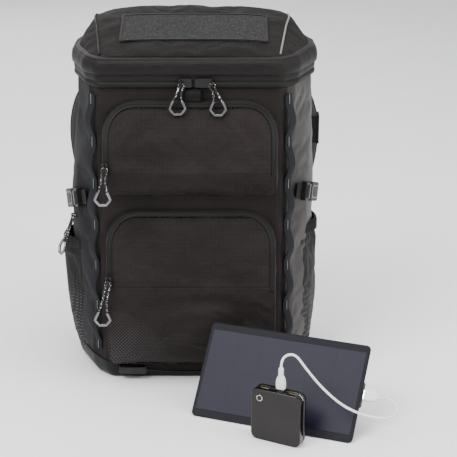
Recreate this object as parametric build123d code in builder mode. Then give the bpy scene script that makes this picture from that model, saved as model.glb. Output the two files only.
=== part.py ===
from build123d import *
import os
from math import cos, radians, sin, tan

# A square-topped daypack with a domed zip lid, and a leaning solar panel cabled to a power bank, in millimetres.
# +X is the wearer-facing observer's right, -Y is the bag's front, +Z is up.
# The origin is the centre of the bag's base, on the floor.

os.makedirs("parts", exist_ok=True)

# ---------------------------------------------------------------- driving sizes
front_y = -95.0
back_y = 95.0
front_half_width = 117.0
corner_half_width = 138.0
side_half_width = 165.0
back_half_width = 142.0
corner_y = -74.0
side_front_y = -12.0
side_back_y = 22.0
wall = 3.0

boot_height = 30.0
boot_seam_drop = 21.0
zip_z = 421.0
rim_low = 413.0
collar_low = 436.0
dome_low = 452.0
rim_swell = 5.0
lid_hinge_z = 424.0
hinge_strip_y = 80.0

webbing = 1.6
strap_width = 20.0
cord_diameter = 2.5
tube_diameter = 5.0
tube_bore = 2.7
tube_half_span = 9.5
tube_depth = 15.5
arch_reach = 3.0

panel_width = 220.0
panel_height = 128.0
panel_thickness = 2.4
panel_turn = 21.53
panel_lean = 37.55
bank_width = 69.0
bank_height = 70.0
bank_depth = 21.0
bank_turn = 28.3
cable_diameter = 3.2


# ---------------------------------------------------------------- shared shapes
def write(piece, name):
    """Label a finished piece and write its STEP file."""
    piece.part.label = name
    export_step(piece.part, f"parts/{name}.step")


def block(low, high, mode=Mode.ADD):
    """A box between two opposite corners, in the open part."""
    size = Vector(*high) - Vector(*low)
    with Locations((Vector(*low) + Vector(*high)) / 2):
        Box(size.X, size.Y, size.Z, mode=mode)


def outline(factor=1.0, grow=0.0):
    """The bag's plan: a narrow front, chamfered corners and sides that widen to the middle."""
    right = [
        (front_half_width, front_y, 12),
        (corner_half_width, corner_y, 12),
        (side_half_width, side_front_y, 40),
        (side_half_width, side_back_y, 40),
        (back_half_width, back_y, 28),
    ]
    corners = right + [(-x, y, r) for x, y, r in reversed(right)]
    with BuildSketch() as shape:
        with BuildLine():
            FilletPolyline(
                *[(x * factor, y * factor) for x, y, r in corners],
                radius=[r * factor for x, y, r in corners],
                close=True,
            )
        make_face()
        if grow:
            offset(amount=grow)
    return shape.sketch


def band(low, high, outer, inner):
    """A closed band of the plan between two offsets of it."""
    outside = outline(grow=outer)
    inside = outline(grow=inner)
    with BuildPart() as ring:
        with BuildSketch(Plane.XY.offset(low)):
            add(outside)
            add(inside, mode=Mode.SUBTRACT)
        extrude(amount=high - low)
    return ring.part


def stack(levels):
    """A solid through the plan, scaled by a factor at each height."""
    sections = [outline(factor) for height, factor in levels]
    with BuildPart() as solid:
        for (height, factor), section in zip(levels, sections):
            with BuildSketch(Plane.XY.offset(height)):
                add(section)
        loft(ruled=True)
    return solid.part


def tube_along(points, radii, diameter, bore=0.0):
    """A round rod or tube along straight runs joined by tangent arcs."""
    with BuildPart() as rod:
        with BuildLine():
            path = FilletPolyline(*points, radius=radii)
        with BuildSketch(Plane(origin=path @ 0, z_dir=path % 0)):
            Circle(diameter / 2)
            if bore:
                Circle(bore / 2, mode=Mode.SUBTRACT)
        sweep(path=path)
    return rod.part


def corner_radii(points):
    """The largest round that each corner's two runs allow."""
    places = [Vector(*point) for point in points]
    radii = []
    for before, corner, after in zip(places, places[1:], places[2:]):
        first, second = corner - before, after - corner
        half_turn = radians(first.get_angle(second) / 2)
        radii.append(0.45 * min(first.length, second.length) / tan(half_turn))
    return radii


# ---------------------------------------------------------------- body of the bag
def seam_tool():
    """Everything in front of the bag and above the boot's curved front seam."""
    with BuildPart() as tool:
        with BuildSketch(Plane.XZ.offset(60)):
            with BuildLine():
                ThreePointArc(
                    (-corner_half_width, boot_height),
                    (0, boot_height - boot_seam_drop),
                    (corner_half_width, boot_height),
                )
                Polyline(
                    (corner_half_width, boot_height),
                    (corner_half_width, rim_low),
                    (-corner_half_width, rim_low),
                    (-corner_half_width, boot_height),
                )
            make_face()
        extrude(amount=60)
    return tool.part


def make_base_boot(above_seam):
    outside = stack([(0, 0.925), (4, 0.955), (14, 0.985), (boot_height, 1.0)])
    inside = stack([(wall, 0.92), (boot_height + 1, 0.98)])
    with BuildPart() as base_boot:
        add(outside)
        add(inside, mode=Mode.SUBTRACT)
        add(above_seam, mode=Mode.SUBTRACT)
    write(base_boot, "base_boot")


def make_body_panels(above_seam):
    """The front, side and back panels, cut from one wall at the corner seams."""
    low_ring = band(1.0, boot_height, 0, -wall)
    ring = band(boot_height, rim_low, 0, -wall)
    back_ring = band(rim_low, zip_z, 0, -wall)
    front_x = 127.5
    back_seam_y = 84.0
    with BuildPart() as front_panel:
        add(low_ring)
        add(above_seam, mode=Mode.INTERSECT)
        add(ring)
        block((-front_x, -120, 0), (front_x, 0, 500), mode=Mode.INTERSECT)
    write(front_panel, "front_panel")
    with BuildPart() as back_panel:
        add(ring)
        add(back_ring)
        block((-200, back_seam_y, 0), (200, 120, 500), mode=Mode.INTERSECT)
    write(back_panel, "back_panel")
    for name, side in (("side_panel_left", -1), ("side_panel_right", 1)):
        with BuildPart() as side_panel:
            add(ring)
            low_x, high_x = sorted((0, side * 200))
            block((low_x, -120, 0), (high_x, back_seam_y, 500), mode=Mode.INTERSECT)
            block((-front_x, -120, 0), (front_x, 0, 500), mode=Mode.SUBTRACT)
        write(side_panel, name)


def make_inner_frame():
    """A stiff back sheet and base plate, and the padded laptop sleeve in front of the sheet."""
    plate = outline(0.9)
    with BuildPart() as frame_stiffeners:
        block((-112, 88.5, 31), (112, 91.5, 400))
        with BuildSketch(Plane.XY.offset(3.2)):
            add(plate)
        extrude(amount=3)
    write(frame_stiffeners, "frame_stiffeners")
    with BuildPart() as laptop_sleeve:
        block((-112, 62, 9), (112, 87, 300))
        block((-108, 66, 13), (108, 88, 301), mode=Mode.SUBTRACT)
    write(laptop_sleeve, "laptop_sleeve")


def make_back_pads():
    """Two tall ribs and a lumbar pad, stitched to the back panel."""
    with BuildPart() as back_pads:
        for side in (-1, 1):
            low_x, high_x = sorted((side * 28, side * 108))
            block((low_x, back_y + 0.05, 130), (high_x, back_y + 13, 355))
        block((-108, back_y + 0.05, 40), (108, back_y + 14, 118))
        fillet(back_pads.faces().filter_by(Axis.Y).sort_by(Axis.Y)[-3:].edges(), 6)
    write(back_pads, "back_pads")


# ---------------------------------------------------------------- zips of the mouth and the lid
def make_rim_and_lid():
    rim = band(rim_low, zip_z - 0.4, rim_swell, -wall)
    with BuildPart() as rim_zip_tape:
        add(rim)
        block((-200, -150, 400), (200, hinge_strip_y, 460), mode=Mode.INTERSECT)
    write(rim_zip_tape, "rim_zip_tape")

    upper = band(zip_z + 0.4, collar_low, rim_swell, -wall)
    with BuildPart() as lid_zip_tape:
        add(upper)
        block((-200, -150, 400), (200, hinge_strip_y, 460), mode=Mode.INTERSECT)
    write(lid_zip_tape, "lid_zip_tape")

    outside = stack([(collar_low, 1.02), (dome_low, 0.975)])
    inside = stack([(collar_low - 1, 0.96), (dome_low + 1, 0.92)])
    with BuildPart() as lid_collar:
        add(outside)
        add(inside, mode=Mode.SUBTRACT)
        block((-200, -150, 400), (200, hinge_strip_y, 460), mode=Mode.INTERSECT)
    write(lid_collar, "lid_collar")

    dome = stack([(dome_low, 0.965), (472, 0.90), (492, 0.79)])
    hollow = stack([(dome_low - 1, 0.925), (472, 0.86), (492, 0.75)])
    under_top = lid_section(0)
    under_lining = lid_section(-4)
    back_wall = band(lid_hinge_z + 0.4, dome_low, 0, -wall)
    back_ledge = band(dome_low - wall, dome_low + 0.5, 0, -10)
    with BuildPart() as cavity:
        add(hollow)
        add(under_lining, mode=Mode.INTERSECT)
    with BuildPart() as lid_shell:
        add(dome)
        add(under_top, mode=Mode.INTERSECT)
        add(cavity.part, mode=Mode.SUBTRACT)
    with BuildPart() as hinge_wall:
        add(back_wall)
        add(back_ledge)
        block((-200, hinge_strip_y + 0.2, 400), (200, 120, 460), mode=Mode.INTERSECT)
    with BuildPart() as whole_lid:
        add(lid_shell.part)
        add(hinge_wall.part)
    write(whole_lid, "lid_shell")

    above = lid_section(1.6)
    below = lid_section(0.2)
    with BuildPart() as lid_loop_field:
        add(above)
        add(below, mode=Mode.SUBTRACT)
        block((-93, -58, 440), (102, 20, 500), mode=Mode.INTERSECT)
    write(lid_loop_field, "lid_loop_field")


def lid_section(rise):
    """All that lies under the lid's top, which climbs from the front to a crest near the back."""
    with BuildPart() as under:
        with BuildSketch(Plane.YZ.offset(-200)):
            with BuildLine():
                ThreePointArc((-110, 452 + rise), (-40, 471 + rise), (30, 488 + rise))
                ThreePointArc((30, 488 + rise), (70, 489.5 + rise), (110, 483 + rise))
                Polyline((110, 483 + rise), (110, 430), (-110, 430), (-110, 452 + rise))
            make_face()
        extrude(amount=400)
    return under.part


# ---------------------------------------------------------------- front pockets
def pocket_face(half_width, low, high, top_radius, low_radius, depth=60):
    """A rounded rectangle seen from the front, drawn forwards from the front panel."""
    with BuildPart() as face:
        with BuildSketch(Plane.XZ.offset(-front_y + 0.1)):
            with Locations((0, (low + high) / 2)):
                Rectangle(2 * half_width, high - low)
        extrude(amount=depth)
        upright = face.edges().filter_by(Axis.Y)
        fillet(upright.group_by(Axis.Z)[-1], top_radius)
        fillet(face.edges().filter_by(Axis.Y).group_by(Axis.Z)[0], low_radius)
    return face.part


def pocket_depth(profile, shift):
    """The space between the front panel and a pocket's front profile, moved back by a shift."""
    with BuildPart() as space:
        with BuildSketch(Plane.YZ.offset(-150)):
            with BuildLine():
                Polyline(
                    (0, profile[0][1]),
                    *[(y + shift, z) for y, z in profile],
                    (0, profile[-1][1]),
                    close=True,
                )
            make_face()
        extrude(amount=300)
    return space.part


def make_front_pocket(name, half_width, low, zip_end, high, profile, cover_top):
    """A boxed pocket: side walls with the fixed lower front, a zip flange and a flap cover."""
    skin = 3.5
    flange = 7.0
    gap = 1.5
    outer = pocket_face(half_width, low, high, 42, 16)
    inner = pocket_face(half_width - wall, low + wall, high - wall, 39, 13)
    opening = pocket_face(half_width - flange, zip_end, high - flange - 3, 34, 2)
    flap = pocket_face(half_width - flange - gap, zip_end + 0.5, cover_top, 32, 2)
    front = pocket_depth(profile, 0)
    lining = pocket_depth(profile, skin)
    with BuildPart() as gusset:
        add(outer)
        add(front, mode=Mode.INTERSECT)
    with BuildPart() as hollow:
        add(inner)
        add(lining, mode=Mode.INTERSECT)
    with BuildPart() as shell:
        add(gusset.part)
        add(hollow.part, mode=Mode.SUBTRACT)
        block((-200, -200, zip_end), (200, 0, 600), mode=Mode.SUBTRACT)
    with BuildPart() as side_walls:
        add(gusset.part)
        add(hollow.part, mode=Mode.SUBTRACT)
        add(lining, mode=Mode.INTERSECT)
        block((-200, -200, zip_end), (200, 0, 600), mode=Mode.INTERSECT)
    with BuildPart() as body:
        add(shell.part)
        add(side_walls.part)
    write(body, f"{name}_gusset")
    with BuildPart() as zip_flange:
        add(gusset.part)
        add(lining, mode=Mode.SUBTRACT)
        add(opening, mode=Mode.SUBTRACT)
        block((-200, -200, zip_end), (200, 0, 600), mode=Mode.INTERSECT)
    with BuildPart() as cover:
        add(flap)
        add(front, mode=Mode.INTERSECT)
        add(lining, mode=Mode.SUBTRACT)
    write(cover, f"{name}_cover")
    return zip_flange.part


def make_front_pockets():
    upper_profile = [
        (-100, 268), (-120, 284), (-130, 305), (-127, 330), (-118, 352), (-103, 384), (-101.5, 395)
    ]
    lower_profile = [
        (-99, 24), (-124, 50), (-131, 90), (-130, 148), (-120, 205), (-104, 234), (-101.5, 245.5)
    ]
    upper = make_front_pocket("upper_pocket", 113, 268, 305, 395, upper_profile, 383.5)
    lower = make_front_pocket("lower_pocket", 112, 24, 148, 245.5, lower_profile, 234)
    side_tape = band(213.5, 221.5, 1.3, 0.1)
    with BuildPart() as side_zip:
        add(side_tape)
        block((-200, -60, 200), (0, -6, 230), mode=Mode.INTERSECT)
    with BuildPart() as pocket_zips:
        add(upper)
        add(lower)
        add(side_zip.part)
    write(pocket_zips, "pocket_zips")


# ---------------------------------------------------------------- side pockets, webbing and buckles
def crescent(reach, inset=0.0):
    """A bulge beside the bag's right flank, in plan."""
    with BuildSketch() as bulge:
        with BuildLine():
            ThreePointArc((140, -50 + inset), (reach - inset, 2), (140, 60 - inset))
            Line((140, 60 - inset), (140, -50 + inset))
        make_face()
    return bulge.sketch


def bulge_between(low, low_reach, top, top_reach, inset=0.0):
    """A flaring bulge between two heights."""
    sections = [(low, crescent(low_reach, inset)), (top, crescent(top_reach, inset))]
    with BuildPart() as bulge:
        for height, section in sections:
            with BuildSketch(Plane.XY.offset(height)):
                add(section)
        loft(ruled=True)
    return bulge.part


def make_side_pocket(name, side, top, low_reach, top_reach):
    body = band(0, 500, 0.1, -40)
    outside = bulge_between(boot_height + 0.5, low_reach, top, top_reach)
    inside = bulge_between(boot_height + 3, low_reach, top + 1, top_reach, 2)
    with BuildPart() as pocket:
        add(outside)
        add(inside, mode=Mode.SUBTRACT)
        add(body, mode=Mode.SUBTRACT)
        if side < 0:
            mirror(about=Plane.YZ, mode=Mode.REPLACE)
    write(pocket, name)


def make_daisy_chains():
    """Webbing ladders down both front corners: flat where tacked, bowed between the tacks."""
    tacks = 7
    first, pitch = 48.0, 58.0
    flat, bow = 6.0, 8.0
    middle = Vector(127.5, -84.5, 0)
    outward = Vector(0.7071, -0.7071, 0)
    with BuildPart() as daisy_chains:
        ladder = Plane(origin=middle, x_dir=outward, z_dir=(0.7071, 0.7071, 0))
        with BuildSketch(ladder.offset(-8)):
            for index in range(tacks):
                height = first + index * pitch
                with Locations((0.2 + webbing / 2, -height)):
                    Rectangle(webbing, 2 * flat + 0.2)
            for index in range(tacks - 1):
                low = first + index * pitch + flat
                high = low + pitch - 2 * flat
                with BuildLine():
                    ThreePointArc((0.2, -low), (0.2 + bow, -(low + high) / 2), (0.2, -high))
                    Line((0.2, -high), (0.2 + webbing, -high))
                    ThreePointArc(
                        (0.2 + webbing, -high),
                        (0.2 + webbing + bow, -(low + high) / 2),
                        (0.2 + webbing, -low),
                    )
                    Line((0.2 + webbing, -low), (0.2, -low))
                make_face()
        extrude(amount=16)
        mirror(about=Plane.YZ)
    write(daisy_chains, "daisy_chains")


strap_fall = 17.0
buckle_back = 36.0
buckle_z = {-1: 247.0, 1: 256.0}


def buckle_plane(side):
    """The slanted front of the flank at a side buckle: local X runs forwards and up along the strap."""
    run = Vector(side * (side_half_width - corner_half_width), side_front_y - corner_y, 0).normalized()
    out = Vector(side * run.Y, -abs(run.X), 0)
    seam = Vector(side * corner_half_width, corner_y, buckle_z[side])
    forwards = run * -cos(radians(strap_fall)) + Vector(0, 0, sin(radians(strap_fall)))
    return Plane(origin=seam + run * buckle_back + out * 2.2, x_dir=forwards, z_dir=out)


def make_compression_straps():
    """A webbing strap on each flank, sloping down to the back, with a buckle across its gap."""
    around = band(150, 320, 1.9, 0.2)
    pieces = []
    for side in (-1, 1):
        with BuildPart() as strap:
            with BuildSketch(buckle_plane(side).offset(-60)):
                with Locations((21.5, 0)):
                    Rectangle(27, strap_width)
                with Locations((-66.5, 0)):
                    Rectangle(117, strap_width)
            extrude(amount=80)
            add(around, mode=Mode.INTERSECT)
        pieces.append(strap.part)
    with BuildPart() as compression_straps:
        for piece in pieces:
            add(piece)
    write(compression_straps, "compression_straps")
    with BuildPart() as buckle_sockets:
        for side in (-1, 1):
            with BuildSketch(buckle_plane(side)):
                with Locations((-15, 0)):
                    RectangleRounded(30, 26, 4)
            extrude(amount=9)
        for side in (-1, 1):
            with BuildSketch(buckle_plane(side).offset(2)):
                with Locations((-10, 0)):
                    Rectangle(24, 19)
            extrude(amount=5, mode=Mode.SUBTRACT)
    write(buckle_sockets, "buckle_sockets")
    for name, side in (("buckle_plug_left", -1), ("buckle_plug_right", 1)):
        with BuildPart() as plug:
            with BuildSketch(buckle_plane(side)):
                with Locations((9.5, 0)):
                    RectangleRounded(18, 26, 3)
            extrude(amount=8)
            with BuildSketch(buckle_plane(side)):
                with Locations((7, 0), (13, 0)):
                    Rectangle(2.6, 20.6)
            extrude(amount=8, mode=Mode.SUBTRACT)
            with BuildSketch(buckle_plane(side).offset(2.5)):
                with Locations((-9, 7), (-9, -7)):
                    Rectangle(20, 3.6)
                with Locations((-8, 0)):
                    Rectangle(18, 3)
            extrude(amount=4)
        write(plug, name)


def make_loops():
    """Gear loops low on the front, and the grab tab under the middle of the main zip."""
    with BuildPart() as gear_loops:
        for side in (-1, 1):
            low_x, high_x = sorted((side * 64, side * 100))
            block((low_x, -103, 10), (high_x, front_y - 0.1, 20))
            block((low_x + 2, -101.4, 9), (high_x - 2, -80, 21), mode=Mode.SUBTRACT)
        block((-6, -103.3, 396), (14, front_y - 0.1, 411.5))
        block((-7, -101.7, 397.6), (15, -96.7, 409.9), mode=Mode.SUBTRACT)
    write(gear_loops, "gear_loops")


# ---------------------------------------------------------------- charging port on the flank
def make_usb_port():
    """A hooded charging port near the back of the right flank, with a flap hinged at its top."""
    body = band(250, 400, 0.1, -40)
    with BuildPart() as housing:
        block((140, 46, 299), (174, 66, 338))
        block((158, 50.5, 311), (175, 61.5, 327), mode=Mode.SUBTRACT)
        block((157, 54.8, 313), (166, 57.2, 325))
        add(body, mode=Mode.SUBTRACT)
    write(housing, "usb_port_housing")
    with BuildPart() as flap:
        block((174.4, 45, 297), (177.4, 67, 340))
        fillet(flap.edges().filter_by(Axis.X), 4)
    write(flap, "usb_port_flap")


# ---------------------------------------------------------------- carrying harness
def make_harness():
    strap_y = 112.0
    for name, side in (("shoulder_strap_left", -1), ("shoulder_strap_right", 1)):
        with BuildPart() as strap:
            with BuildLine(mode=Mode.PRIVATE) as run:
                ThreePointArc((side * 84, 382), (side * 151, 322), (side * 120, 165))
            with BuildSketch(Plane.XZ.offset(-strap_y - 12)):
                SlotArc(run.wire(), 56)
            extrude(amount=12)
            low_x, high_x = sorted((side * 66, side * 106))
            block((low_x, 95.1, 389), (high_x, strap_y + 8, 408))
        write(strap, name)
    lower_y = strap_y + 6
    with BuildPart() as harness_webbing:
        for side in (-1, 1):
            low_x, high_x = sorted((side * 110, side * 130))
            block((low_x, lower_y - 0.8, 62), (high_x, lower_y + 0.8, 112))
            block((low_x, 95.1, 60), (high_x, lower_y + 0.8, 61.9))
            low_x, high_x = sorted((side * 19, side * 116))
            block((low_x, strap_y + 12.1, 290), (high_x, strap_y + 13.7, 310))
    write(harness_webbing, "harness_webbing")
    with BuildPart() as strap_hardware:
        for side in (-1, 1):
            low_x, high_x = sorted((side * 107, side * 133))
            block((low_x, lower_y - 5, 112.2), (high_x, lower_y + 5, 135))
        block((-18.8, strap_y + 12.1, 288), (-1, strap_y + 20, 312))
        block((-16, strap_y + 14.1, 291), (0, strap_y + 18, 309), mode=Mode.SUBTRACT)
    write(strap_hardware, "strap_hardware")
    with BuildPart() as sternum_buckle_plug:
        block((0.4, strap_y + 14.3, 290), (18.6, strap_y + 20, 310))
        block((-14, strap_y + 14.6, 292.5), (0.4, strap_y + 17.5, 296))
        block((-14, strap_y + 14.6, 304), (0.4, strap_y + 17.5, 307.5))
    write(sternum_buckle_plug, "sternum_buckle_plug")
    handle_x, handle_low = 28.0, 368.0
    with BuildPart() as haul_handle:
        with BuildLine():
            path = FilletPolyline(
                (-handle_x, 101.5, 404),
                (-handle_x, 101.5, handle_low),
                (handle_x, 101.5, handle_low),
                (handle_x, 101.5, 404),
                radius=14,
            )
        with BuildSketch(Plane(origin=path @ 0, z_dir=path % 0)):
            RectangleRounded(12, 8, 3)
        sweep(path=path)
    write(haul_handle, "haul_handle")


# ---------------------------------------------------------------- zip sliders and their pulls
def slider_plane(origin, outward):
    """A plane on the zip, with Z out of the bag and Y up."""
    outward = Vector(*outward)
    return Plane(origin=origin, x_dir=Vector(0, 0, 1).cross(outward), z_dir=outward)


def make_pull(name, plane, shift, drop):
    """A looped cord through the slider's arch, with both ends in the mouths of a bent tube."""
    def place(across, up):
        return tuple(plane.from_local_coords((across, up, 0)))

    mouth = -drop
    floor = mouth - tube_depth
    slant = 5.5
    bend = [
        (shift - tube_half_span, mouth),
        (shift - tube_half_span, mouth - 6),
        (shift - tube_half_span + slant, floor),
        (shift + tube_half_span - slant, floor),
        (shift + tube_half_span, mouth - 6),
        (shift + tube_half_span, mouth),
    ]
    places = [place(*point) for point in bend]
    with BuildPart() as pull_tube:
        add(tube_along(places, [3.2, 4.5, 4.5, 3.2], tube_diameter, tube_bore))
    write(pull_tube, f"pull_tube_{name}")
    loop = [
        (shift - tube_half_span, mouth - 3.0),
        (shift - tube_half_span, mouth + 1.5),
        (-arch_reach, 0),
        (arch_reach, 0),
        (shift + tube_half_span, mouth + 1.5),
        (shift + tube_half_span, mouth - 3.0),
    ]
    places = [place(*point) for point in loop]
    with BuildPart() as pull_cord:
        add(tube_along(places, corner_radii(places), cord_diameter))
    write(pull_cord, f"pull_cord_{name}")


flank_out = Vector(corner_y - side_front_y, corner_half_width - side_half_width, 0).normalized()
flank_zip_y = -30.0
flank_zip_x = -side_half_width + (side_front_y - flank_zip_y) * flank_out.Y / flank_out.X
zip_face = front_y - rim_swell - 0.3
pull_stand = 5.6
pull_tilts = {"main_left": 8.0, "main_right": 8.0, "side_pocket": 22.0}
# Name, place of the slider's back, outward direction, arch along the slider, pull shift and drop.
pulls = [
    ("main_left", (-11.0, zip_face, zip_z), (0, -1, 0), 5.0, -5.0, 24.0),
    ("main_right", (29.0, zip_face, zip_z), (0, -1, 0), -10.8, 7.5, 25.0),
    ("upper_pocket", (-110.5, -130.6, 316), (0, -1, 0), 0.0, -3.0, 34.0),
    ("lower_pocket", (-110.0, -130.9, 159), (0, -1, 0), 0.0, -8.0, 46.0),
    ("side_pocket", tuple(Vector(flank_zip_x, flank_zip_y, 217.5) + flank_out * 1.6), tuple(flank_out), 0, 0, 40),
]


slider_sizes = {
    "main_left": (17.0, 12.0),
    "main_right": (23.0, 12.0),
    "upper_pocket": (8.0, 13.0),
    "lower_pocket": (8.0, 13.0),
    "side_pocket": (12.0, 7.6),
}


def make_sliders():
    """A slider on each zip, with an arch that the pull's cord runs through, level."""
    for name, place, outward, centre, shift, drop in pulls:
        base = slider_plane(place, outward)
        length, width = slider_sizes[name]
        with BuildPart() as slider:
            with BuildSketch(base):
                with Locations((centre, 0)):
                    RectangleRounded(length, width, 2)
            extrude(amount=3.4)
            with BuildSketch(base.offset(3.3)):
                Rectangle(1.6, 7)
            extrude(amount=5.6)
            with BuildSketch(base.offset(3.4)):
                Rectangle(2, 4)
            extrude(amount=4.2, mode=Mode.SUBTRACT)
        write(slider, f"slider_{name}")
        hang = base.offset(pull_stand).rotated((-pull_tilts.get(name, 0.0), 0, 0))
        make_pull(name, hang, shift, drop)


# ---------------------------------------------------------------- solar panel
panel_across = Vector(cos(radians(panel_turn)), -sin(radians(panel_turn)), 0)
panel_front = Vector(
    -sin(radians(panel_turn)) * cos(radians(panel_lean)),
    -cos(radians(panel_turn)) * cos(radians(panel_lean)),
    sin(radians(panel_lean)),
)
panel_lift = panel_thickness * sin(radians(panel_lean)) + 0.05
panel_plane = Plane(origin=(0.5, -211.3, panel_lift), x_dir=panel_across, z_dir=panel_front)
socket_up = 65.0
socket_back = 6.6
socket_centre = panel_plane.from_local_coords((panel_width, socket_up, -socket_back))


def make_solar_panel():
    """A laminated board leaning on the bag, its cell sheet, and the socket box behind its edge."""
    with BuildPart() as solar_board:
        with BuildSketch(panel_plane.offset(-panel_thickness)):
            with Locations((panel_width / 2, panel_height / 2)):
                RectangleRounded(panel_width, panel_height, 6)
        extrude(amount=panel_thickness)
    write(solar_board, "solar_board")
    with BuildPart() as solar_cells:
        with BuildSketch(panel_plane.offset(0.05)):
            with Locations((panel_width / 2, panel_height / 2)):
                with GridLocations(33.6, 54.5, 6, 2):
                    Rectangle(32.6, 53.5)
        extrude(amount=0.8)
    write(solar_cells, "solar_cells")
    with BuildPart() as solar_junction_box:
        with BuildSketch(panel_plane.offset(-panel_thickness - 0.05)):
            with Locations((panel_width - 13, socket_up)):
                RectangleRounded(26, 34, 3)
        extrude(amount=-8.5)
        with BuildSketch(panel_plane.offset(-socket_back - 2.6)):
            with Locations((panel_width - 7, socket_up)):
                Rectangle(16, 12.6)
        extrude(amount=5.2, mode=Mode.SUBTRACT)
    write(solar_junction_box, "solar_junction_box")


# ---------------------------------------------------------------- power bank
bank_across = Vector(cos(radians(bank_turn)), -sin(radians(bank_turn)), 0)
bank_plane = Plane(origin=(77.8, -272.6, 0), x_dir=bank_across, z_dir=(0, 0, 1))
bank_front = Plane(origin=(77.8, -272.6, 0), x_dir=bank_across, z_dir=bank_plane.y_dir * -1)
micro_x = 37.2
port_x = (15.5, 57.5)
button_place = (12.5, 58.0)
bank_wall = 2.0


def bank_block(radius, inset, near, far):
    """A rounded slab of the bank between two depths behind its front face."""
    with BuildPart() as slab:
        with BuildSketch(bank_front.offset(-far)):
            with Locations((bank_width / 2, bank_height / 2)):
                RectangleRounded(bank_width - 2 * inset, bank_height - 2 * inset, radius)
        extrude(amount=far - near)
    return slab.part


def make_power_bank():
    """Two case halves round a flat cell and a circuit board, with ports on top and a button."""
    hollow = bank_block(7, bank_wall, bank_wall, bank_depth - bank_wall)
    middle = bank_depth / 2
    halves = (
        ("bank_case_front", bank_block(9, 0, 0, middle - 0.05)),
        ("bank_case_rear", bank_block(9, 0, middle + 0.05, bank_depth)),
    )
    for name, half in halves:
        with BuildPart() as case:
            add(half)
            add(hollow, mode=Mode.SUBTRACT)
            with BuildSketch(bank_plane.offset(bank_height - 5)):
                with Locations(*[(x, middle) for x in port_x]):
                    Rectangle(13.2, 5.8)
                with Locations((micro_x, middle)):
                    Rectangle(8.4, 3.4)
            extrude(amount=8, mode=Mode.SUBTRACT)
            with BuildSketch(bank_front):
                with Locations(button_place):
                    Circle(3.4)
            extrude(amount=-bank_wall - 0.5, mode=Mode.SUBTRACT)
        write(case, name)
    with BuildPart() as bank_cells:
        with BuildSketch(bank_front.offset(-16.5)):
            with Locations((bank_width / 2, 27)):
                RectangleRounded(60, 46, 3)
        extrude(amount=9.5)
    write(bank_cells, "bank_cells")
    with BuildPart() as bank_circuit_board:
        with BuildSketch(bank_plane.offset(53.4)):
            with Locations((bank_width / 2, middle + 1.5)):
                Rectangle(58, 12)
        extrude(amount=1.6)
        with BuildSketch(bank_plane.offset(54)):
            with Locations(*[(x, middle) for x in port_x]):
                Rectangle(12.8, 5.4)
            with Locations((micro_x, middle)):
                Rectangle(8, 3)
        extrude(amount=bank_height - 54.4)
        with BuildSketch(bank_plane.offset(60)):
            with Locations(*[(x, middle) for x in port_x]):
                Rectangle(12, 4.6)
                with Locations((0, 1.2)):
                    Rectangle(11, 1.6, mode=Mode.SUBTRACT)
            with Locations((micro_x, middle)):
                Rectangle(7.2, 2.2)
        extrude(amount=12, mode=Mode.SUBTRACT)
    write(bank_circuit_board, "bank_circuit_board")
    with BuildPart() as bank_button:
        with BuildSketch(bank_front.offset(-bank_wall - 0.1)):
            with Locations(button_place):
                Circle(3.2)
        extrude(amount=bank_wall + 0.9)
        with BuildSketch(bank_front.offset(-bank_wall - 0.1)):
            with Locations(button_place):
                Circle(4.4)
        extrude(amount=-1)
        fillet(bank_button.edges().filter_by(GeomType.CIRCLE).sort_by(Axis.Y)[0], 0.4)
    write(bank_button, "bank_button")


# ---------------------------------------------------------------- charging cable
micro_base = bank_plane.from_local_coords((micro_x, bank_depth / 2, bank_height))
micro_exit = micro_base + Vector(0, 0, 31.5)
plug_plane = Plane(origin=socket_centre, x_dir=panel_plane.y_dir, z_dir=panel_across)
plug_length = 26.5
plug_exit = socket_centre + panel_across * plug_length
cable_points = [
    tuple(micro_exit),
    (115.9, -281.2, 112.0),
    (123.8, -281.4, 119.4),
    (134.3, -282.0, 118.3),
    (146.0, -283.0, 101.0),
    (168.0, -284.5, 73.0),
    (197.0, -285.5, 47.0),
    (231.0, -287.0, 34.5),
    (256.5, -284.0, 33.0),
    (264.0, -275.5, 40.5),
    tuple(plug_exit + panel_across * 12.3),
    tuple(plug_exit),
]


def make_cable():
    """A white lead from the bank's small port to the panel's socket."""
    radii = corner_radii(cable_points)
    print("cable radii", [round(radius, 1) for radius in radii])
    with BuildPart() as cable_cord:
        add(tube_along(cable_points, radii, cable_diameter))
    write(cable_cord, "cable_cord")
    bank_top = bank_plane.offset(bank_height)
    with BuildPart() as plug_overmolds:
        with BuildSketch(bank_top.offset(1.5)):
            with Locations((micro_x, bank_depth / 2)):
                RectangleRounded(12.2, 8, 2.5)
        extrude(amount=18)
        with BuildSketch(bank_top.offset(19.5)):
            with Locations((micro_x, bank_depth / 2)):
                Circle(3.1)
        extrude(amount=12)
        with BuildSketch(plug_plane.offset(2.5)):
            RectangleRounded(15.5, 8, 2.5)
        extrude(amount=16)
        with BuildSketch(plug_plane.offset(18.5)):
            Circle(3.1)
        extrude(amount=plug_length - 18.5)
    write(plug_overmolds, "plug_overmolds")
    with BuildPart() as plug_shells:
        with BuildSketch(bank_top.offset(-6)):
            with Locations((micro_x, bank_depth / 2)):
                Rectangle(6.8, 1.8)
        extrude(amount=7.5)
        with BuildSketch(plug_plane.offset(-11.5)):
            Rectangle(12, 4.5)
        extrude(amount=14)
    write(plug_shells, "plug_shells")


above_seam = seam_tool()
make_base_boot(above_seam)
make_body_panels(above_seam)
make_inner_frame()
make_back_pads()
make_rim_and_lid()
make_front_pockets()
make_side_pocket("side_pocket_left", -1, 181, 168, 184)
make_side_pocket("side_pocket_right", 1, 204, 166, 175)
make_daisy_chains()
make_compression_straps()
make_loops()
make_usb_port()
make_harness()
make_sliders()
make_solar_panel()
make_power_bank()
make_cable()
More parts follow.
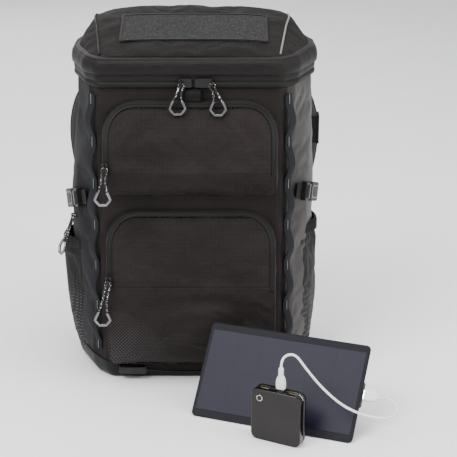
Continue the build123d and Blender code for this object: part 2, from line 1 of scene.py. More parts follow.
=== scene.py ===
"""A packed daypack with a leaning solar panel and a power bank, dressed round its CAD frame."""
import bpy
import bmesh
from math import atan2, cos, exp, pi, radians, sin, sqrt
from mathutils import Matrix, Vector, noise


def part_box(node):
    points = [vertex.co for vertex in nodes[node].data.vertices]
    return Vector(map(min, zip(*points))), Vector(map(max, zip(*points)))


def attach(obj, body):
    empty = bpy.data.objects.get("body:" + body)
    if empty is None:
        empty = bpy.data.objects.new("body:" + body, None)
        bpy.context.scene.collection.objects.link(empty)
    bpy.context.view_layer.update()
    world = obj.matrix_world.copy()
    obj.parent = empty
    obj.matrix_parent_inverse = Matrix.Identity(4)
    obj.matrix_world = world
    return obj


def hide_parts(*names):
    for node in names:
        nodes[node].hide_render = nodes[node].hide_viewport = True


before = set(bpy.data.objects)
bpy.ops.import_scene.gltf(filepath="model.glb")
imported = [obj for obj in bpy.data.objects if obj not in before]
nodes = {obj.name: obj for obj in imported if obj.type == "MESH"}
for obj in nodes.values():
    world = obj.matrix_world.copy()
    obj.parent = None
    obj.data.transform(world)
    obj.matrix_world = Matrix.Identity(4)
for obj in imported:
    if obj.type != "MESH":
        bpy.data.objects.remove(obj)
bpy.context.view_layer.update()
MM = 0.001
scene = bpy.context.scene

# ------------------------------------------------------------------ sizes shared with the frame, mm
FRONT_Y, BACK_Y = -95.0, 95.0
CORNERS = [(117.0, -95.0, 12.0), (138.0, -74.0, 12.0), (165.0, -12.0, 40.0), (165.0, 22.0, 40.0),
           (142.0, 95.0, 28.0)]
RIM_LOW, ZIP_Z, COLLAR_LOW, DOME_LOW = 413.0, 421.0, 436.0, 452.0
HINGE_STRIP_Y = 80.0
BOOT_TOP = 30.0
BOOT_WIDTH = 138.0
SEAM_DIP = 21.0
SEAM_LOW = 9.0
CORNER_X, CORNER_Y = 127.5, -84.5
FLANK_RUN = (27.0, 62.0)
BANK_TURN, PANEL_TURN, PANEL_LEAN = radians(28.3), radians(21.53), radians(37.55)
PANEL_SIZE = (220.0, 128.0, 2.4)
BANK_SIZE = (69.0, 70.0)
BANK_CORNER = 9.0


# ------------------------------------------------------------------ camera
SENSOR_WIDTH = 36.0
FOCAL_LENGTHS_WIDE = 1467.0 / 457.0
CAMERA_SPOT = (0.050, -1.950, 0.865)
CAMERA_PITCH = radians(19.18)


def make_camera():
    """The photograph's viewpoint: a little above the bag, level, with a long lens."""
    data = bpy.data.cameras.new("camera")
    data.lens = SENSOR_WIDTH * FOCAL_LENGTHS_WIDE
    data.sensor_width = SENSOR_WIDTH
    camera = bpy.data.objects.new("camera", data)
    camera.location = CAMERA_SPOT
    camera.rotation_euler = (radians(90) - CAMERA_PITCH, 0, 0)
    scene.collection.objects.link(camera)
    scene.camera = camera


make_camera()


# ------------------------------------------------------------------ materials
CLOTH_SHEEN = 0.08
SHEEN_ROUGHNESS = 0.5


class Shader:
    """A small wrapper round one material's nodes."""

    def __init__(self, name):
        self.material = bpy.data.materials.new(name)
        self.material.use_nodes = True
        self.tree = self.material.node_tree
        self.bsdf = self.tree.nodes["Principled BSDF"]
        self.place = self.node("ShaderNodeTexCoord").outputs["Object"]

    def node(self, kind, **values):
        made = self.tree.nodes.new(kind)
        for key, value in values.items():
            if key in made.inputs:
                made.inputs[key].default_value = value
            else:
                setattr(made, key, value)
        return made

    def link(self, out, into):
        self.tree.links.new(out, into)

    def math(self, operation, first, second=0.0, third=None):
        made = self.node("ShaderNodeMath", operation=operation)
        for index, value in enumerate((first, second, third)):
            if value is None:
                continue
            if isinstance(value, (int, float)):
                made.inputs[index].default_value = value
            else:
                self.link(value, made.inputs[index])
        return made.outputs[0]

    def axes(self):
        parts = self.node("ShaderNodeSeparateXYZ")
        self.link(self.place, parts.inputs[0])
        return parts.outputs

    def bands(self, axis, pitch, distortion=0.0):
        """Smooth ridges along an axis, one every `pitch` metres."""
        turned = self.math("MULTIPLY", axis, 2 * pi / pitch)
        if distortion:
            wobble = self.noise(25.0, 2.0)
            turned = self.math("ADD", turned, self.math("MULTIPLY", wobble, distortion))
        return self.math("MULTIPLY_ADD", self.math("SINE", turned), 0.5, 0.5)

    def noise(self, scale, detail=3.0, roughness=0.55):
        made = self.node("ShaderNodeTexNoise", Scale=scale, Detail=detail, Roughness=roughness)
        self.link(self.place, made.inputs["Vector"])
        return made.outputs["Fac"]

    def ramp(self, value, low, high, low_value=0.0, high_value=1.0):
        made = self.node("ShaderNodeMapRange")
        made.inputs["From Min"].default_value = low
        made.inputs["From Max"].default_value = high
        made.inputs["To Min"].default_value = low_value
        made.inputs["To Max"].default_value = high_value
        self.link(value, made.inputs["Value"])
        return made.outputs["Result"]

    def mix(self, factor, first, second):
        made = self.node("ShaderNodeMix", data_type="RGBA")
        if isinstance(factor, (int, float)):
            made.inputs[0].default_value = factor
        else:
            self.link(factor, made.inputs[0])
        for index, value in ((6, first), (7, second)):
            if isinstance(value, (tuple, list)):
                made.inputs[index].default_value = (*value[:3], 1.0)
            else:
                self.link(value, made.inputs[index])
        return made.outputs[2]

    def bump(self, height, strength, distance, under=None):
        made = self.node("ShaderNodeBump", Strength=strength, Distance=distance)
        self.link(height, made.inputs["Height"])
        if under is not None:
            self.link(under, made.inputs["Normal"])
        return made.outputs["Normal"]

    def finish(self, color, rough, normal=None, metal=0.0, sheen=0.0, coat=0.0, coat_rough=0.2,
               specular=0.5):
        if isinstance(color, tuple):
            self.bsdf.inputs["Base Color"].default_value = (*color, 1.0)
        else:
            self.link(color, self.bsdf.inputs["Base Color"])
        if isinstance(rough, (int, float)):
            self.bsdf.inputs["Roughness"].default_value = rough
        else:
            self.link(rough, self.bsdf.inputs["Roughness"])
        self.bsdf.inputs["Metallic"].default_value = metal
        self.bsdf.inputs["Sheen Weight"].default_value = sheen * CLOTH_SHEEN
        self.bsdf.inputs["Sheen Roughness"].default_value = SHEEN_ROUGHNESS
        self.bsdf.inputs["Coat Weight"].default_value = coat
        self.bsdf.inputs["Coat Roughness"].default_value = coat_rough
        self.bsdf.inputs["Specular IOR Level"].default_value = specular
        if normal is not None:
            self.link(normal, self.bsdf.inputs["Normal"])
        return self.material


def shade(color, factor):
    return tuple(min(1.0, channel * factor) for channel in color)


def fabric(name, color, across="X", along="Z", thread=0.0011, ripstop=0.0056, rough=0.62,
           sheen=0.25, contrast=0.35, specular=0.08, prints=None):
    """Woven cloth: fine threads both ways, a ripstop grid, soft creases and uneven colour."""
    s = Shader(name)
    axes = dict(zip("XYZ", s.axes()))
    warp = s.bands(axes[across], thread)
    weft = s.bands(axes[along], thread)
    threads = s.math("MULTIPLY", warp, weft)
    cloudy = s.noise(14.0, 5.0, 0.6)
    fine = s.noise(900.0, 2.0)
    tone = s.mix(s.ramp(cloudy, 0.3, 0.72), shade(color, 1 - contrast), shade(color, 1 + contrast))
    tone = s.mix(s.math("MULTIPLY", threads, 0.35), tone, shade(color, 1.7))
    if ripstop:
        wide = s.math("POWER", s.bands(axes[across], ripstop), 14.0)
        high = s.math("POWER", s.bands(axes[along], ripstop), 14.0)
        cords = s.math("MAXIMUM", wide, high)
        tone = s.mix(s.math("MULTIPLY", cords, 0.3), tone, shade(color, 2.0))
        threads = s.math("ADD", threads, s.math("MULTIPLY", cords, 1.2))
    if prints:
        tone = prints(s, axes, tone)
    height = s.math("ADD", threads, s.math("MULTIPLY", fine, 0.6))
    normal = s.bump(height, 0.35, 0.0004)
    normal = s.bump(s.noise(75.0, 4.0, 0.6), 0.22, 0.003, normal)
    return s.finish(tone, s.ramp(cloudy, 0.25, 0.75, rough - 0.08, rough + 0.1), normal,
                    sheen=sheen, specular=specular)


def webbing_cloth(name, color, along="Z", pitch=0.0016, glossy=0.0):
    """Narrow woven tape with ribs across its length."""
    s = Shader(name)
    axes = dict(zip("XYZ", s.axes()))
    ribs = s.bands(axes[along], pitch)
    slant = s.math("ADD", axes["X"], s.math("MULTIPLY", axes["Z"], 0.6))
    twill = s.bands(slant, pitch * 0.9)
    tone = s.mix(s.math("MULTIPLY", ribs, 0.5), shade(color, 0.7), shade(color, 1.5))
    tone = s.mix(s.ramp(s.noise(40.0), 0.35, 0.7, 0.0, 0.3), tone, shade(color, 1.9))
    normal = s.bump(s.math("ADD", ribs, s.math("MULTIPLY", twill, 0.5)), 0.5, 0.0004)
    return s.finish(tone, 0.7, normal, sheen=0.3, coat=glossy, coat_rough=0.35, specular=0.08)


def moulded(name, color, rough=0.42, grain=0.15, coat=0.0, metal=0.0):
    """Moulded plastic, rubber or enamel: fine grain, faint marks and uneven gloss."""
    s = Shader(name)
    cloudy = s.noise(30.0, 4.0, 0.6)
    tone = s.mix(s.ramp(cloudy, 0.3, 0.75), shade(color, 0.85), shade(color, 1.2))
    normal = s.bump(s.noise(1400.0, 2.0), grain, 0.0002)
    return s.finish(tone, s.ramp(s.noise(60.0, 3.0), 0.3, 0.7, rough - 0.05, rough + 0.09), normal,
                    metal=metal, coat=coat, coat_rough=0.15, specular=0.17)


def mesh_cloth(name, color):
    """Open air mesh: a grid of dark holes in a lighter knit."""
    pitch = 0.0032
    s = Shader(name)
    axes = dict(zip("XYZ", s.axes()))
    left = s.bands(s.math("ADD", axes["X"], axes["Z"]), pitch)
    right = s.bands(s.math("SUBTRACT", axes["X"], axes["Z"]), pitch)
    holes = s.ramp(s.math("MULTIPLY", left, right), 0.35, 0.6)
    tone = s.mix(holes, shade(color, 1.6), shade(color, 0.35))
    normal = s.bump(s.math("SUBTRACT", 1.0, holes), 0.7, 0.0007)
    return s.finish(tone, 0.85, normal, sheen=0.4)


def loop_pile(name, color):
    """Hook-and-loop field: speckled, fuzzy pile."""
    s = Shader(name)
    speck = s.noise(430.0, 4.0, 0.85)
    patch = s.noise(260.0, 3.0, 0.7)
    tone = s.mix(s.ramp(speck, 0.42, 0.6), shade(color, 0.35), shade(color, 2.8))
    tone = s.mix(s.ramp(patch, 0.45, 0.65, 0.0, 0.5), tone, shade(color, 0.6))
    return s.finish(tone, 0.95, s.bump(speck, 0.9, 0.0012), sheen=0.6, specular=0.1)


def halftone(center_x, center_z, reach, low, light):
    """A print of small reflective dots that thins out away from one corner."""

    def paint(s, axes, tone):
        pitch = 0.0046
        first = s.math("ADD", axes["X"], s.math("ADD", axes["Z"], axes["Y"]))
        second = s.math("SUBTRACT", axes["X"], axes["Z"])
        dots = s.math("MULTIPLY", s.bands(first, pitch), s.bands(second, pitch))
        far_x = s.math("SUBTRACT", s.math("ABSOLUTE", axes["X"]), center_x)
        far_z = s.math("SUBTRACT", axes["Z"], center_z)
        far = s.math("SQRT", s.math("ADD", s.math("MULTIPLY", far_x, far_x),
                                    s.math("MULTIPLY", far_z, far_z)))
        near = s.ramp(far, reach[0], reach[1], 1.0, 0.0)
        level = s.math("SUBTRACT", 0.9, s.math("MULTIPLY", near, 0.62))
        shown = s.math("MULTIPLY", s.math("GREATER_THAN", dots, level),
                       s.math("LESS_THAN", far, reach[1]))
        shown = s.math("MULTIPLY", shown, s.math("GREATER_THAN", axes["Z"], low))
        return s.mix(s.math("MULTIPLY", shown, 0.75), tone, light)

    return paint


def stripes(low, high, light):
    """Short reflective bars in level rows between two heights."""

    def paint(s, axes, tone):
        rows = s.math("GREATER_THAN", s.bands(axes["Z"], 0.009), 0.72)
        gaps = s.math("GREATER_THAN", s.bands(axes["Y"], 0.021, 3.0), 0.3)
        fade = s.ramp(axes["Z"], low, high, 1.0, 0.0)
        shown = s.math("MULTIPLY", s.math("MULTIPLY", rows, gaps), fade)
        return s.mix(s.math("MULTIPLY", shown, 0.55), tone, light)

    return paint


FRONT_COLOR = (0.0125, 0.0098, 0.0097)
M = {
    "front": fabric("front_fabric", FRONT_COLOR),
    "front_low": fabric("front_print_fabric", FRONT_COLOR,
                        prints=halftone(0.128, 0.012, (0.02, 0.105), 0.012, (0.075, 0.078, 0.085))),
    "flank_left": fabric("left_flank_fabric", (0.0078, 0.0076, 0.0092), "Y", "Z", ripstop=0.0,
                         contrast=0.2),
    # The right flank is a satin cloth, and its base colour is also raised well above the left flank's as
    # painted light where the lamp falls on that side.
    "flank_right_satin_lit": fabric("right_flank_satin_lit_fabric", (0.021, 0.018, 0.0172), "Y", "Z", ripstop=0.0,
                          rough=0.42, sheen=0.3, contrast=0.3, specular=0.2),
    "side_left": fabric("left_pocket_fabric", (0.0095, 0.0088, 0.0092), "Y", "Z", ripstop=0.0,
                        prints=halftone(0.175, 0.03, (0.03, 0.10), 0.02, (0.07, 0.072, 0.078))),
    "side_right": fabric("right_pocket_fabric", (0.013, 0.0115, 0.0115), "Y", "Z", ripstop=0.0,
                         rough=0.5, prints=stripes(0.03, 0.135, (0.12, 0.12, 0.12))),
    "lid": fabric("lid_fabric", (0.0095, 0.008, 0.008), "X", "Y", rough=0.6, contrast=0.5,
                  specular=0.05),
    "collar": fabric("collar_fabric", (0.0075, 0.006, 0.006), "X", "Y", ripstop=0.0, rough=0.5,
                     specular=0.14),
    "boot": moulded("boot_tarpaulin", (0.008, 0.008, 0.009), 0.5, 0.4),
    "rubber": moulded("zip_rubber", (0.0055, 0.0055, 0.006), 0.5, 0.3),
    "olive": moulded("zip_line", (0.022, 0.023, 0.014), 0.6),
    "piping": moulded("piping_cord", (0.011, 0.0105, 0.011), 0.5, 0.3),
    # A pale copy of the dark piping for the lid's right seam: a painted highlight where the light falls.
    "lit_piping_highlight": moulded("lit_piping_highlight", (0.16, 0.155, 0.155), 0.45, 0.3),
    "daisy": webbing_cloth("ladder_webbing", (0.0125, 0.013, 0.0155), "Z"),
    "strap": webbing_cloth("strap_webbing", (0.009, 0.009, 0.0095), "Y"),
    "loop_web": webbing_cloth("loop_webbing", (0.02, 0.021, 0.023), "X", glossy=0.2),
    "tack": webbing_cloth("tack_thread", (0.13, 0.15, 0.155), "Z", 0.0008),
    "thread": moulded("seam_thread", (0.02, 0.02, 0.021), 0.7),
    "pad": mesh_cloth("pad_mesh", (0.016, 0.016, 0.018)),
    "lining": fabric("lining_fabric", (0.035, 0.035, 0.04), ripstop=0.0),
    "loop": loop_pile("loop_field", (0.015, 0.015, 0.0158)),
    "buckle": moulded("buckle_plastic", (0.0075, 0.0075, 0.008), 0.38, 0.15),
    # Pale grey on the black buckles' raised rims: a painted highlight.
    "buckle_rim_highlight": moulded("buckle_rim_highlight", (0.16, 0.165, 0.17), 0.4, 0.15),
    "enamel": moulded("slider_enamel", (0.004, 0.004, 0.0045), 0.3, 0.05, coat=0.25),
    "sheet": moulded("stiffener_plastic", (0.5, 0.5, 0.5), 0.4),
    "white": moulded("cable_jacket", (0.78, 0.78, 0.79), 0.4, 0.1),
    "bank_face": moulded("bank_face", (0.024, 0.0222, 0.0218), 0.5, 0.2),
    "bank_gloss": moulded("bank_gloss", (0.003, 0.003, 0.0033), 0.14, 0.03, coat=0.5),
    "chrome": moulded("chrome", (0.75, 0.75, 0.76), 0.12, 0.02, metal=1.0),
    "pouch": moulded("cell_pouch", (0.6, 0.6, 0.61), 0.35, 0.1, metal=1.0),
    "board": moulded("circuit_board", (0.015, 0.08, 0.035), 0.35, 0.1, coat=0.4),
    "border": fabric("panel_border", (0.0125, 0.0125, 0.0165), ripstop=0.0, thread=0.0014, rough=0.5,
                     contrast=0.12),
    "gunmetal": moulded("gunmetal", (0.2, 0.2, 0.205), 0.27, 0.08, metal=1.0),
    "port_metal": moulded("port_metal", (0.2, 0.16, 0.1), 0.35, 0.05, metal=1.0),
    "button_dark": moulded("button_dark", (0.02, 0.02, 0.022), 0.3, 0.05),
    "port_dark": moulded("port_dark", (0.01, 0.01, 0.01), 0.6, 0.2),
}


def solar_film(name):
    """Glossy film over dark cells, with fine silver fingers and a violet cast."""
    s = Shader(name)
    axes = dict(zip("XYZ", s.axes()))
    run = s.math("SUBTRACT", s.math("MULTIPLY", axes["X"], cos(PANEL_TURN)),
                 s.math("MULTIPLY", axes["Y"], sin(PANEL_TURN)))
    fingers = s.math("POWER", s.bands(run, 0.0021), 10.0)
    cast = s.ramp(s.noise(9.0, 3.0), 0.3, 0.7)
    tone = s.mix(cast, (0.005, 0.005, 0.0125), (0.0075, 0.0075, 0.018))
    tone = s.mix(s.math("MULTIPLY", fingers, 0.03), tone, (0.02, 0.02, 0.03))
    return s.finish(tone, 0.42, s.bump(s.noise(500.0), 0.05, 0.0003), coat=0.04, coat_rough=0.3,
                    specular=0.12)


M["cells"] = solar_film("solar_film")


# ------------------------------------------------------------------ mesh helpers
def add_object(name, verts, faces, material, smooth=True):
    mesh = bpy.data.meshes.new(name)
    mesh.from_pydata([Vector(v) * MM for v in verts], [], faces)
    mesh.validate()
    obj = bpy.data.objects.new(name, mesh)
    scene.collection.objects.link(obj)
    mesh.materials.append(material)
    if smooth:
        mesh.polygons.foreach_set("use_smooth", [True] * len(mesh.polygons))
    return obj


def grid(name, rows, cols, point, material, closed=False):
    """A sheet of rows by cols points, point(u, v) in mm with u along rows and v along columns."""
    span = cols if closed else cols - 1
    verts = [point(i / (rows - 1), j / span) for i in range(rows) for j in range(cols)]
    faces = []
    for i in range(rows - 1):
        for j in range(span):
            k = (j + 1) % cols
            faces.append((i * cols + j, i * cols + k, (i + 1) * cols + k, (i + 1) * cols + j))
    return add_object(name, verts, faces, material)


def ring_faces(rings, size, caps=(True, True), closed=False):
    """The faces of a skin over equal rings of points, with a cap on either end."""
    faces = []
    for i in range(rings if closed else rings - 1):
        k = (i + 1) % rings
        for j in range(size):
            m = (j + 1) % size
            faces.append((i * size + j, i * size + m, k * size + m, k * size + j))
    if caps[0]:
        faces.append(tuple(range(size))[::-1])
    if caps[1]:
        faces.append(tuple((rings - 1) * size + j for j in range(size)))
    return faces


def plump(value, power):
    """A sine or cosine raised to a power with its sign kept, which squares off a round section."""
    return (1 if value >= 0 else -1) * abs(value) ** power


def rim_indices(rows, cols):
    """The border points of a grid."""
    rim = set(range(cols)) | set(range((rows - 1) * cols, rows * cols))
    for i in range(rows):
        rim.add(i * cols)
        rim.add(i * cols + cols - 1)
    return sorted(rim)


def face_out(obj, center=None):
    """Turns a sheet's faces away from the bag's middle."""
    mesh = obj.data
    total = 0.0
    for face in mesh.polygons:
        middle = center or Vector((0, 0.02, face.center.z))
        total += face.area * face.normal.dot((face.center - middle).normalized())
    if total < 0:
        mesh.flip_normals()
    return obj


def settle(obj, pins, swell, pressure, frames, cap):
    """Lets a sheet that was cut a little too large buckle and puff as cloth, held at its pins."""
    mesh = obj.data
    rest = [v.co.copy() for v in mesh.vertices]
    group = obj.vertex_groups.new(name="pin")
    group.add(pins, 1.0, "REPLACE")
    cloth = obj.modifiers.new("cloth", "CLOTH")
    cloth.settings.quality = 5
    cloth.settings.mass = 0.15
    cloth.settings.tension_stiffness = 30
    cloth.settings.compression_stiffness = 30
    cloth.settings.shear_stiffness = 12
    cloth.settings.bending_stiffness = 0.6
    cloth.settings.vertex_group_mass = "pin"
    cloth.settings.shrink_min = -swell
    cloth.settings.use_pressure = True
    cloth.settings.uniform_pressure_force = pressure
    cloth.settings.effector_weights.gravity = 0.0
    cloth.collision_settings.use_collision = False
    cloth.point_cache.frame_start = 1
    cloth.point_cache.frame_end = frames + 1
    for step in range(1, frames + 1):
        scene.frame_set(step)
    done = obj.evaluated_get(bpy.context.evaluated_depsgraph_get()).to_mesh()
    moved = [v.co.copy() for v in done.vertices]
    obj.to_mesh_clear()
    obj.modifiers.remove(cloth)
    obj.vertex_groups.remove(group)
    for vertex, start, end in zip(mesh.vertices, rest, moved):
        step = end - start
        if step.length > cap * MM:
            step = step.normalized() * cap * MM
        vertex.co = start + step
    scene.frame_set(1)
    mesh.update()
    return obj


def thicken(obj, thickness, smooth_level):
    """Gives a sheet its thickness inwards, after a subdivision where asked."""
    if smooth_level:
        soften = obj.modifiers.new("subdivide", "SUBSURF")
        soften.levels = soften.render_levels = smooth_level
    solid = obj.modifiers.new("thickness", "SOLIDIFY")
    solid.thickness = thickness * MM
    solid.offset = -1
    return obj


def sweep(name, path, normals, profile, material, closed=False):
    """A section swept along a path: profile holds (across, out) pairs, out along the normals."""
    count = len(path)
    points = [Vector(p) for p in path]
    verts = []
    for i, (p, n) in enumerate(zip(points, normals)):
        before = points[i - 1] if (closed or i) else p
        after = points[(i + 1) % count] if (closed or i < count - 1) else p
        n = Vector(n)
        tangent = (after - before).normalized()
        side = tangent.cross(n).normalized()
        up = side.cross(tangent).normalized()
        verts += [p + side * a + up * h for a, h in profile]
    faces = ring_faces(count, len(profile), (not closed, not closed), closed)
    obj = add_object(name, verts, faces, material)
    tidy_normals(obj)
    return obj


def tidy_normals(obj):
    """Turns a closed piece's faces outwards."""
    mesh = bmesh.new()
    mesh.from_mesh(obj.data)
    bmesh.ops.recalc_face_normals(mesh, faces=mesh.faces)
    mesh.to_mesh(obj.data)
    mesh.free()


def round_profile(radius, sides=8):
    return [(radius * cos(2 * pi * k / sides), radius * sin(2 * pi * k / sides)) for k in range(sides)]


def tape_profile(width, thickness, edge=0.5):
    """A flat tape with softened edges, lying on its path."""
    half = width / 2
    return [(-half, edge), (-half + edge, 0), (half - edge, 0), (half, edge),
            (half, thickness - edge * 0.6), (half - edge, thickness), (-half + edge, thickness),
            (-half, thickness - edge * 0.6)]


def smooth_value(points, x):
    """A smooth curve through (x, y) pairs, flat past its ends."""
    if x <= points[0][0]:
        return points[0][1]
    if x >= points[-1][0]:
        return points[-1][1]
    for k in range(len(points) - 1):
        (x0, y0), (x1, y1) = points[k], points[k + 1]
        if x <= x1:
            before = points[max(k - 1, 0)]
            after = points[min(k + 2, len(points) - 1)]
            slope0 = (y1 - before[1]) / (x1 - before[0])
            slope1 = (after[1] - y0) / (after[0] - x0)
            t, h = (x - x0) / (x1 - x0), x1 - x0
            return ((2 * t**3 - 3 * t**2 + 1) * y0 + (t**3 - 2 * t**2 + t) * h * slope0
                    + (-2 * t**3 + 3 * t**2) * y1 + (t**3 - t**2) * h * slope1)
    return points[-1][1]


def place(obj, body, *replaced, slot=None):
    """Rides a piece on its body and hides the CAD nodes that it stands for; its slot is not used."""
    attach(obj, body)
    if replaced:
        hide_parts(*replaced)
    return obj


def join(name, objects):
    """One piece out of several, with their modifiers applied and their materials kept."""
    graph = bpy.context.evaluated_depsgraph_get()
    whole = bmesh.new()
    materials = []
    for obj in objects:
        mesh = bpy.data.meshes.new_from_object(obj.evaluated_get(graph))
        start = len(materials)
        materials += list(obj.data.materials)
        for face in mesh.polygons:
            face.material_index += start
        whole.from_mesh(mesh)
        bpy.data.meshes.remove(mesh)
    mesh = bpy.data.meshes.new(name)
    whole.to_mesh(mesh)
    whole.free()
    for material in materials:
        mesh.materials.append(material)
    made = bpy.data.objects.new(name, mesh)
    scene.collection.objects.link(made)
    for obj in objects:
        bpy.data.objects.remove(obj)
    return made


# ------------------------------------------------------------------ the plan outline
class Outline:
    """A closed plan of straight runs and round corners, walked by distance."""

    def __init__(self, corners):
        points = []
        count = len(corners)
        for i, (x, y, r) in enumerate(corners):
            corner = Vector((x, y))
            back = (Vector(corners[i - 1][:2]) - corner).normalized()
            ahead = (Vector(corners[(i + 1) % count][:2]) - corner).normalized()
            half = back.angle(ahead) / 2
            reach = r * cos(half) / sin(half)
            start, end = corner + back * reach, corner + ahead * reach
            middle = corner + (back + ahead).normalized() * (r / sin(half))
            steps = 6
            a0 = atan2(*(start - middle).yx)
            a1 = atan2(*(end - middle).yx)
            turn = (a1 - a0 + pi) % (2 * pi) - pi
            for k in range(steps + 1):
                a = a0 + turn * k / steps
                points.append(middle + Vector((cos(a), sin(a))) * r)
        self.points = points
        self.lengths = [0.0]
        for a, b in zip(points, points[1:] + points[:1]):
            self.lengths.append(self.lengths[-1] + (b - a).length)
        self.total = self.lengths[-1]

    def at(self, distance):
        """The point and outward normal at a distance along the outline."""
        distance %= self.total
        low, high = 0, len(self.points)
        while high - low > 1:
            middle = (low + high) // 2
            if self.lengths[middle] <= distance:
                low = middle
            else:
                high = middle
        a, b = self.points[low], self.points[(low + 1) % len(self.points)]
        span = self.lengths[low + 1] - self.lengths[low]
        t = (distance - self.lengths[low]) / span if span else 0
        run = (b - a).normalized()
        return a.lerp(b, t), Vector((run.y, -run.x))

    def near(self, x, y):
        """The distance along the outline of the place nearest to a point."""
        target = Vector((x, y))
        best = min(range(int(self.total)), key=lambda d: (self.at(d)[0] - target).length)
        return float(best)


body_plan = Outline(CORNERS + [(-x, y, r) for x, y, r in reversed(CORNERS)])
S_SEAM_R = body_plan.near(CORNER_X, CORNER_Y)
S_SEAM_L = body_plan.near(-CORNER_X, CORNER_Y)
S_BACK_R = body_plan.near(146, 84)
S_BACK_L = body_plan.near(-146, 84)
S_STRIP_R = body_plan.near(147, HINGE_STRIP_Y)
S_STRIP_L = body_plan.near(-147, HINGE_STRIP_Y)
SIDE_PLACES = [(body_plan.at(s)[0].y, float(s)) for s in range(int(body_plan.total))
               if body_plan.at(s)[0].x > 128 and abs(body_plan.at(s)[0].y) < 94]


def flank_distance(side, y):
    """The distance along the outline of the place on a flank at a depth."""
    right = min(SIDE_PLACES, key=lambda pair: abs(pair[0] - y))[1]
    if side > 0:
        return right
    p = body_plan.at(right)[0]
    return body_plan.near(-p.x, p.y)


def forward(start, end):
    """The distance walked from one place to the next, always onwards."""
    return (end - start) % body_plan.total


def waist(p, z):
    """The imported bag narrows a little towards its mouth, more on its left."""
    rise = min(1.0, max(0.0, (z - 230) / 180))
    rise = rise * rise * (3 - 2 * rise)
    spare = max(0.0, abs(p.x) - 120)
    pull = spare * rise * (0.26 if p.x < 0 else 0.08)
    return Vector((p.x - pull if p.x > 0 else p.x + pull, p.y))


def wall_point(s, z, out=0.0, factor=1.0):
    """A place on the bag's wall: a distance along the plan, a height and a stand-off."""
    p, n = body_plan.at(s)
    p = waist(p * factor, z) + n * out
    return Vector((p.x, p.y, z))


def ripple(p, size, amount, seed=0.0):
    """Soft uneven relief in mm."""
    return amount * noise.fractal(Vector(p) / size + Vector((seed, seed, seed)), 0.9, 2.1, 4)


# ------------------------------------------------------------------ cords, first
# A point's radius scales the cord's thickness, and Blender also adds it to the curve's box, so it
# is small.
CORD_RADIUS_UNIT = 0.002


def nurbs_cord(name, points, diameter, material):
    """A smooth round cord whose control points are the route's points, in metres."""
    data = bpy.data.curves.new(name, "CURVE")
    data.dimensions = "3D"
    spline = data.splines.new("NURBS")
    spline.points.add(len(points) - 1)
    for point, spot in zip(spline.points, points):
        point.co = (*spot, 1.0)
        point.radius = CORD_RADIUS_UNIT
    spline.order_u = 3
    spline.use_endpoint_u = True
    spline.resolution_u = 12
    data.bevel_depth = diameter / 2 / CORD_RADIUS_UNIT
    data.bevel_resolution = 4
    data.use_fill_caps = True
    obj = bpy.data.objects.new(name, data)
    scene.collection.objects.link(obj)
    data.materials.append(material)
    return obj


CABLE_D = 0.0032
bank_across = Vector((cos(BANK_TURN), -sin(BANK_TURN), 0))
bank_back = Vector((sin(BANK_TURN), cos(BANK_TURN), 0))
bank_corner = Vector((0.0778, -0.2726, 0))
panel_across = Vector((cos(PANEL_TURN), -sin(PANEL_TURN), 0))
panel_front = Vector((-sin(PANEL_TURN) * cos(PANEL_LEAN), -cos(PANEL_TURN) * cos(PANEL_LEAN),
                      sin(PANEL_LEAN)))
panel_up = panel_front.cross(panel_across)
panel_corner = Vector((0.0005, -0.2113, 0.0024 * sin(PANEL_LEAN) + 0.00005))
micro_base = bank_corner + bank_across * 0.0372 + bank_back * 0.0105 + Vector((0, 0, 0.070))
micro_exit = micro_base + Vector((0, 0, 0.0315))
socket_center = panel_corner + panel_across * 0.220 + panel_up * 0.065 - panel_front * 0.0066
plug_exit = socket_center + panel_across * 0.0265
cable_route = [
    tuple(micro_exit),
    (0.1159, -0.2812, 0.1120),
    (0.1238, -0.2814, 0.1194),
    (0.1343, -0.2820, 0.1183),
    (0.1460, -0.2830, 0.1010),
    (0.1680, -0.2845, 0.0730),
    (0.1970, -0.2855, 0.0470),
    (0.2310, -0.2870, 0.0345),
    (0.2565, -0.2840, 0.0330),
    (0.2640, -0.2755, 0.0405),
    tuple(plug_exit + panel_across * 0.0123),
    tuple(plug_exit),
]


# ------------------------------------------------------------------ walls of the bag
def seam_z(x):
    """Height of the boot's upper seam, which dips across the front."""
    reach = min(abs(x), BOOT_WIDTH)
    radius = (BOOT_WIDTH**2 + SEAM_DIP**2) / (2 * SEAM_DIP)
    return SEAM_LOW + radius - sqrt(radius**2 - reach**2)


def boot_factor(z):
    """How far the boot draws in towards the floor."""
    return smooth_value([(0, 0.925), (4, 0.957), (14, 0.985), (30, 1.0)], z)


def make_boot():
    """Coated base: rounded along the floor, up to a curved seam at the front."""
    rows, cols = 12, 220

    def point(u, v):
        s = v * body_plan.total
        p, n = body_plan.at(s)
        top = seam_z(p.x) if p.y < -60 else BOOT_TOP
        if u < 0.1:
            inward = 0.86 + 0.44 * u
            return Vector((p.x * inward, p.y * inward, 0.0))
        z = top * ((u - 0.1) / 0.9) ** 1.3
        p = p * boot_factor(z)
        out = 0.5 * sin(pi * z / 30.0) + ripple((p.x, p.y, z), 35, 0.5)
        return Vector((p.x + n.x * out, p.y + n.y * out, z))

    wall = grid("boot_wall", rows, cols, point, M["boot"], closed=True)
    face_out(wall)
    floor_face = add_object("boot_floor", [point(0, v / 120) + Vector((0, 0, 2.0)) for v in range(120)],
                            [tuple(range(120))[::-1]], M["boot"])
    thicken(wall, 2.0, 0)
    thicken(floor_face, 2.0, 0)
    seam = []
    normals = []
    for k in range(220):
        s = k / 220 * body_plan.total
        p, n = body_plan.at(s)
        z = seam_z(p.x) if p.y < -60 else BOOT_TOP
        p = p * boot_factor(z)
        seam.append((p.x + n.x * 0.8, p.y + n.y * 0.8, z))
        normals.append((n.x, n.y, 0))
    edge = sweep("boot_seam", seam, normals, round_profile(1.3), M["piping"], closed=True)
    boot = join("base_boot_shell", [wall, floor_face, edge])
    place(boot, "pack", "base_boot", slot="boot_fabric")


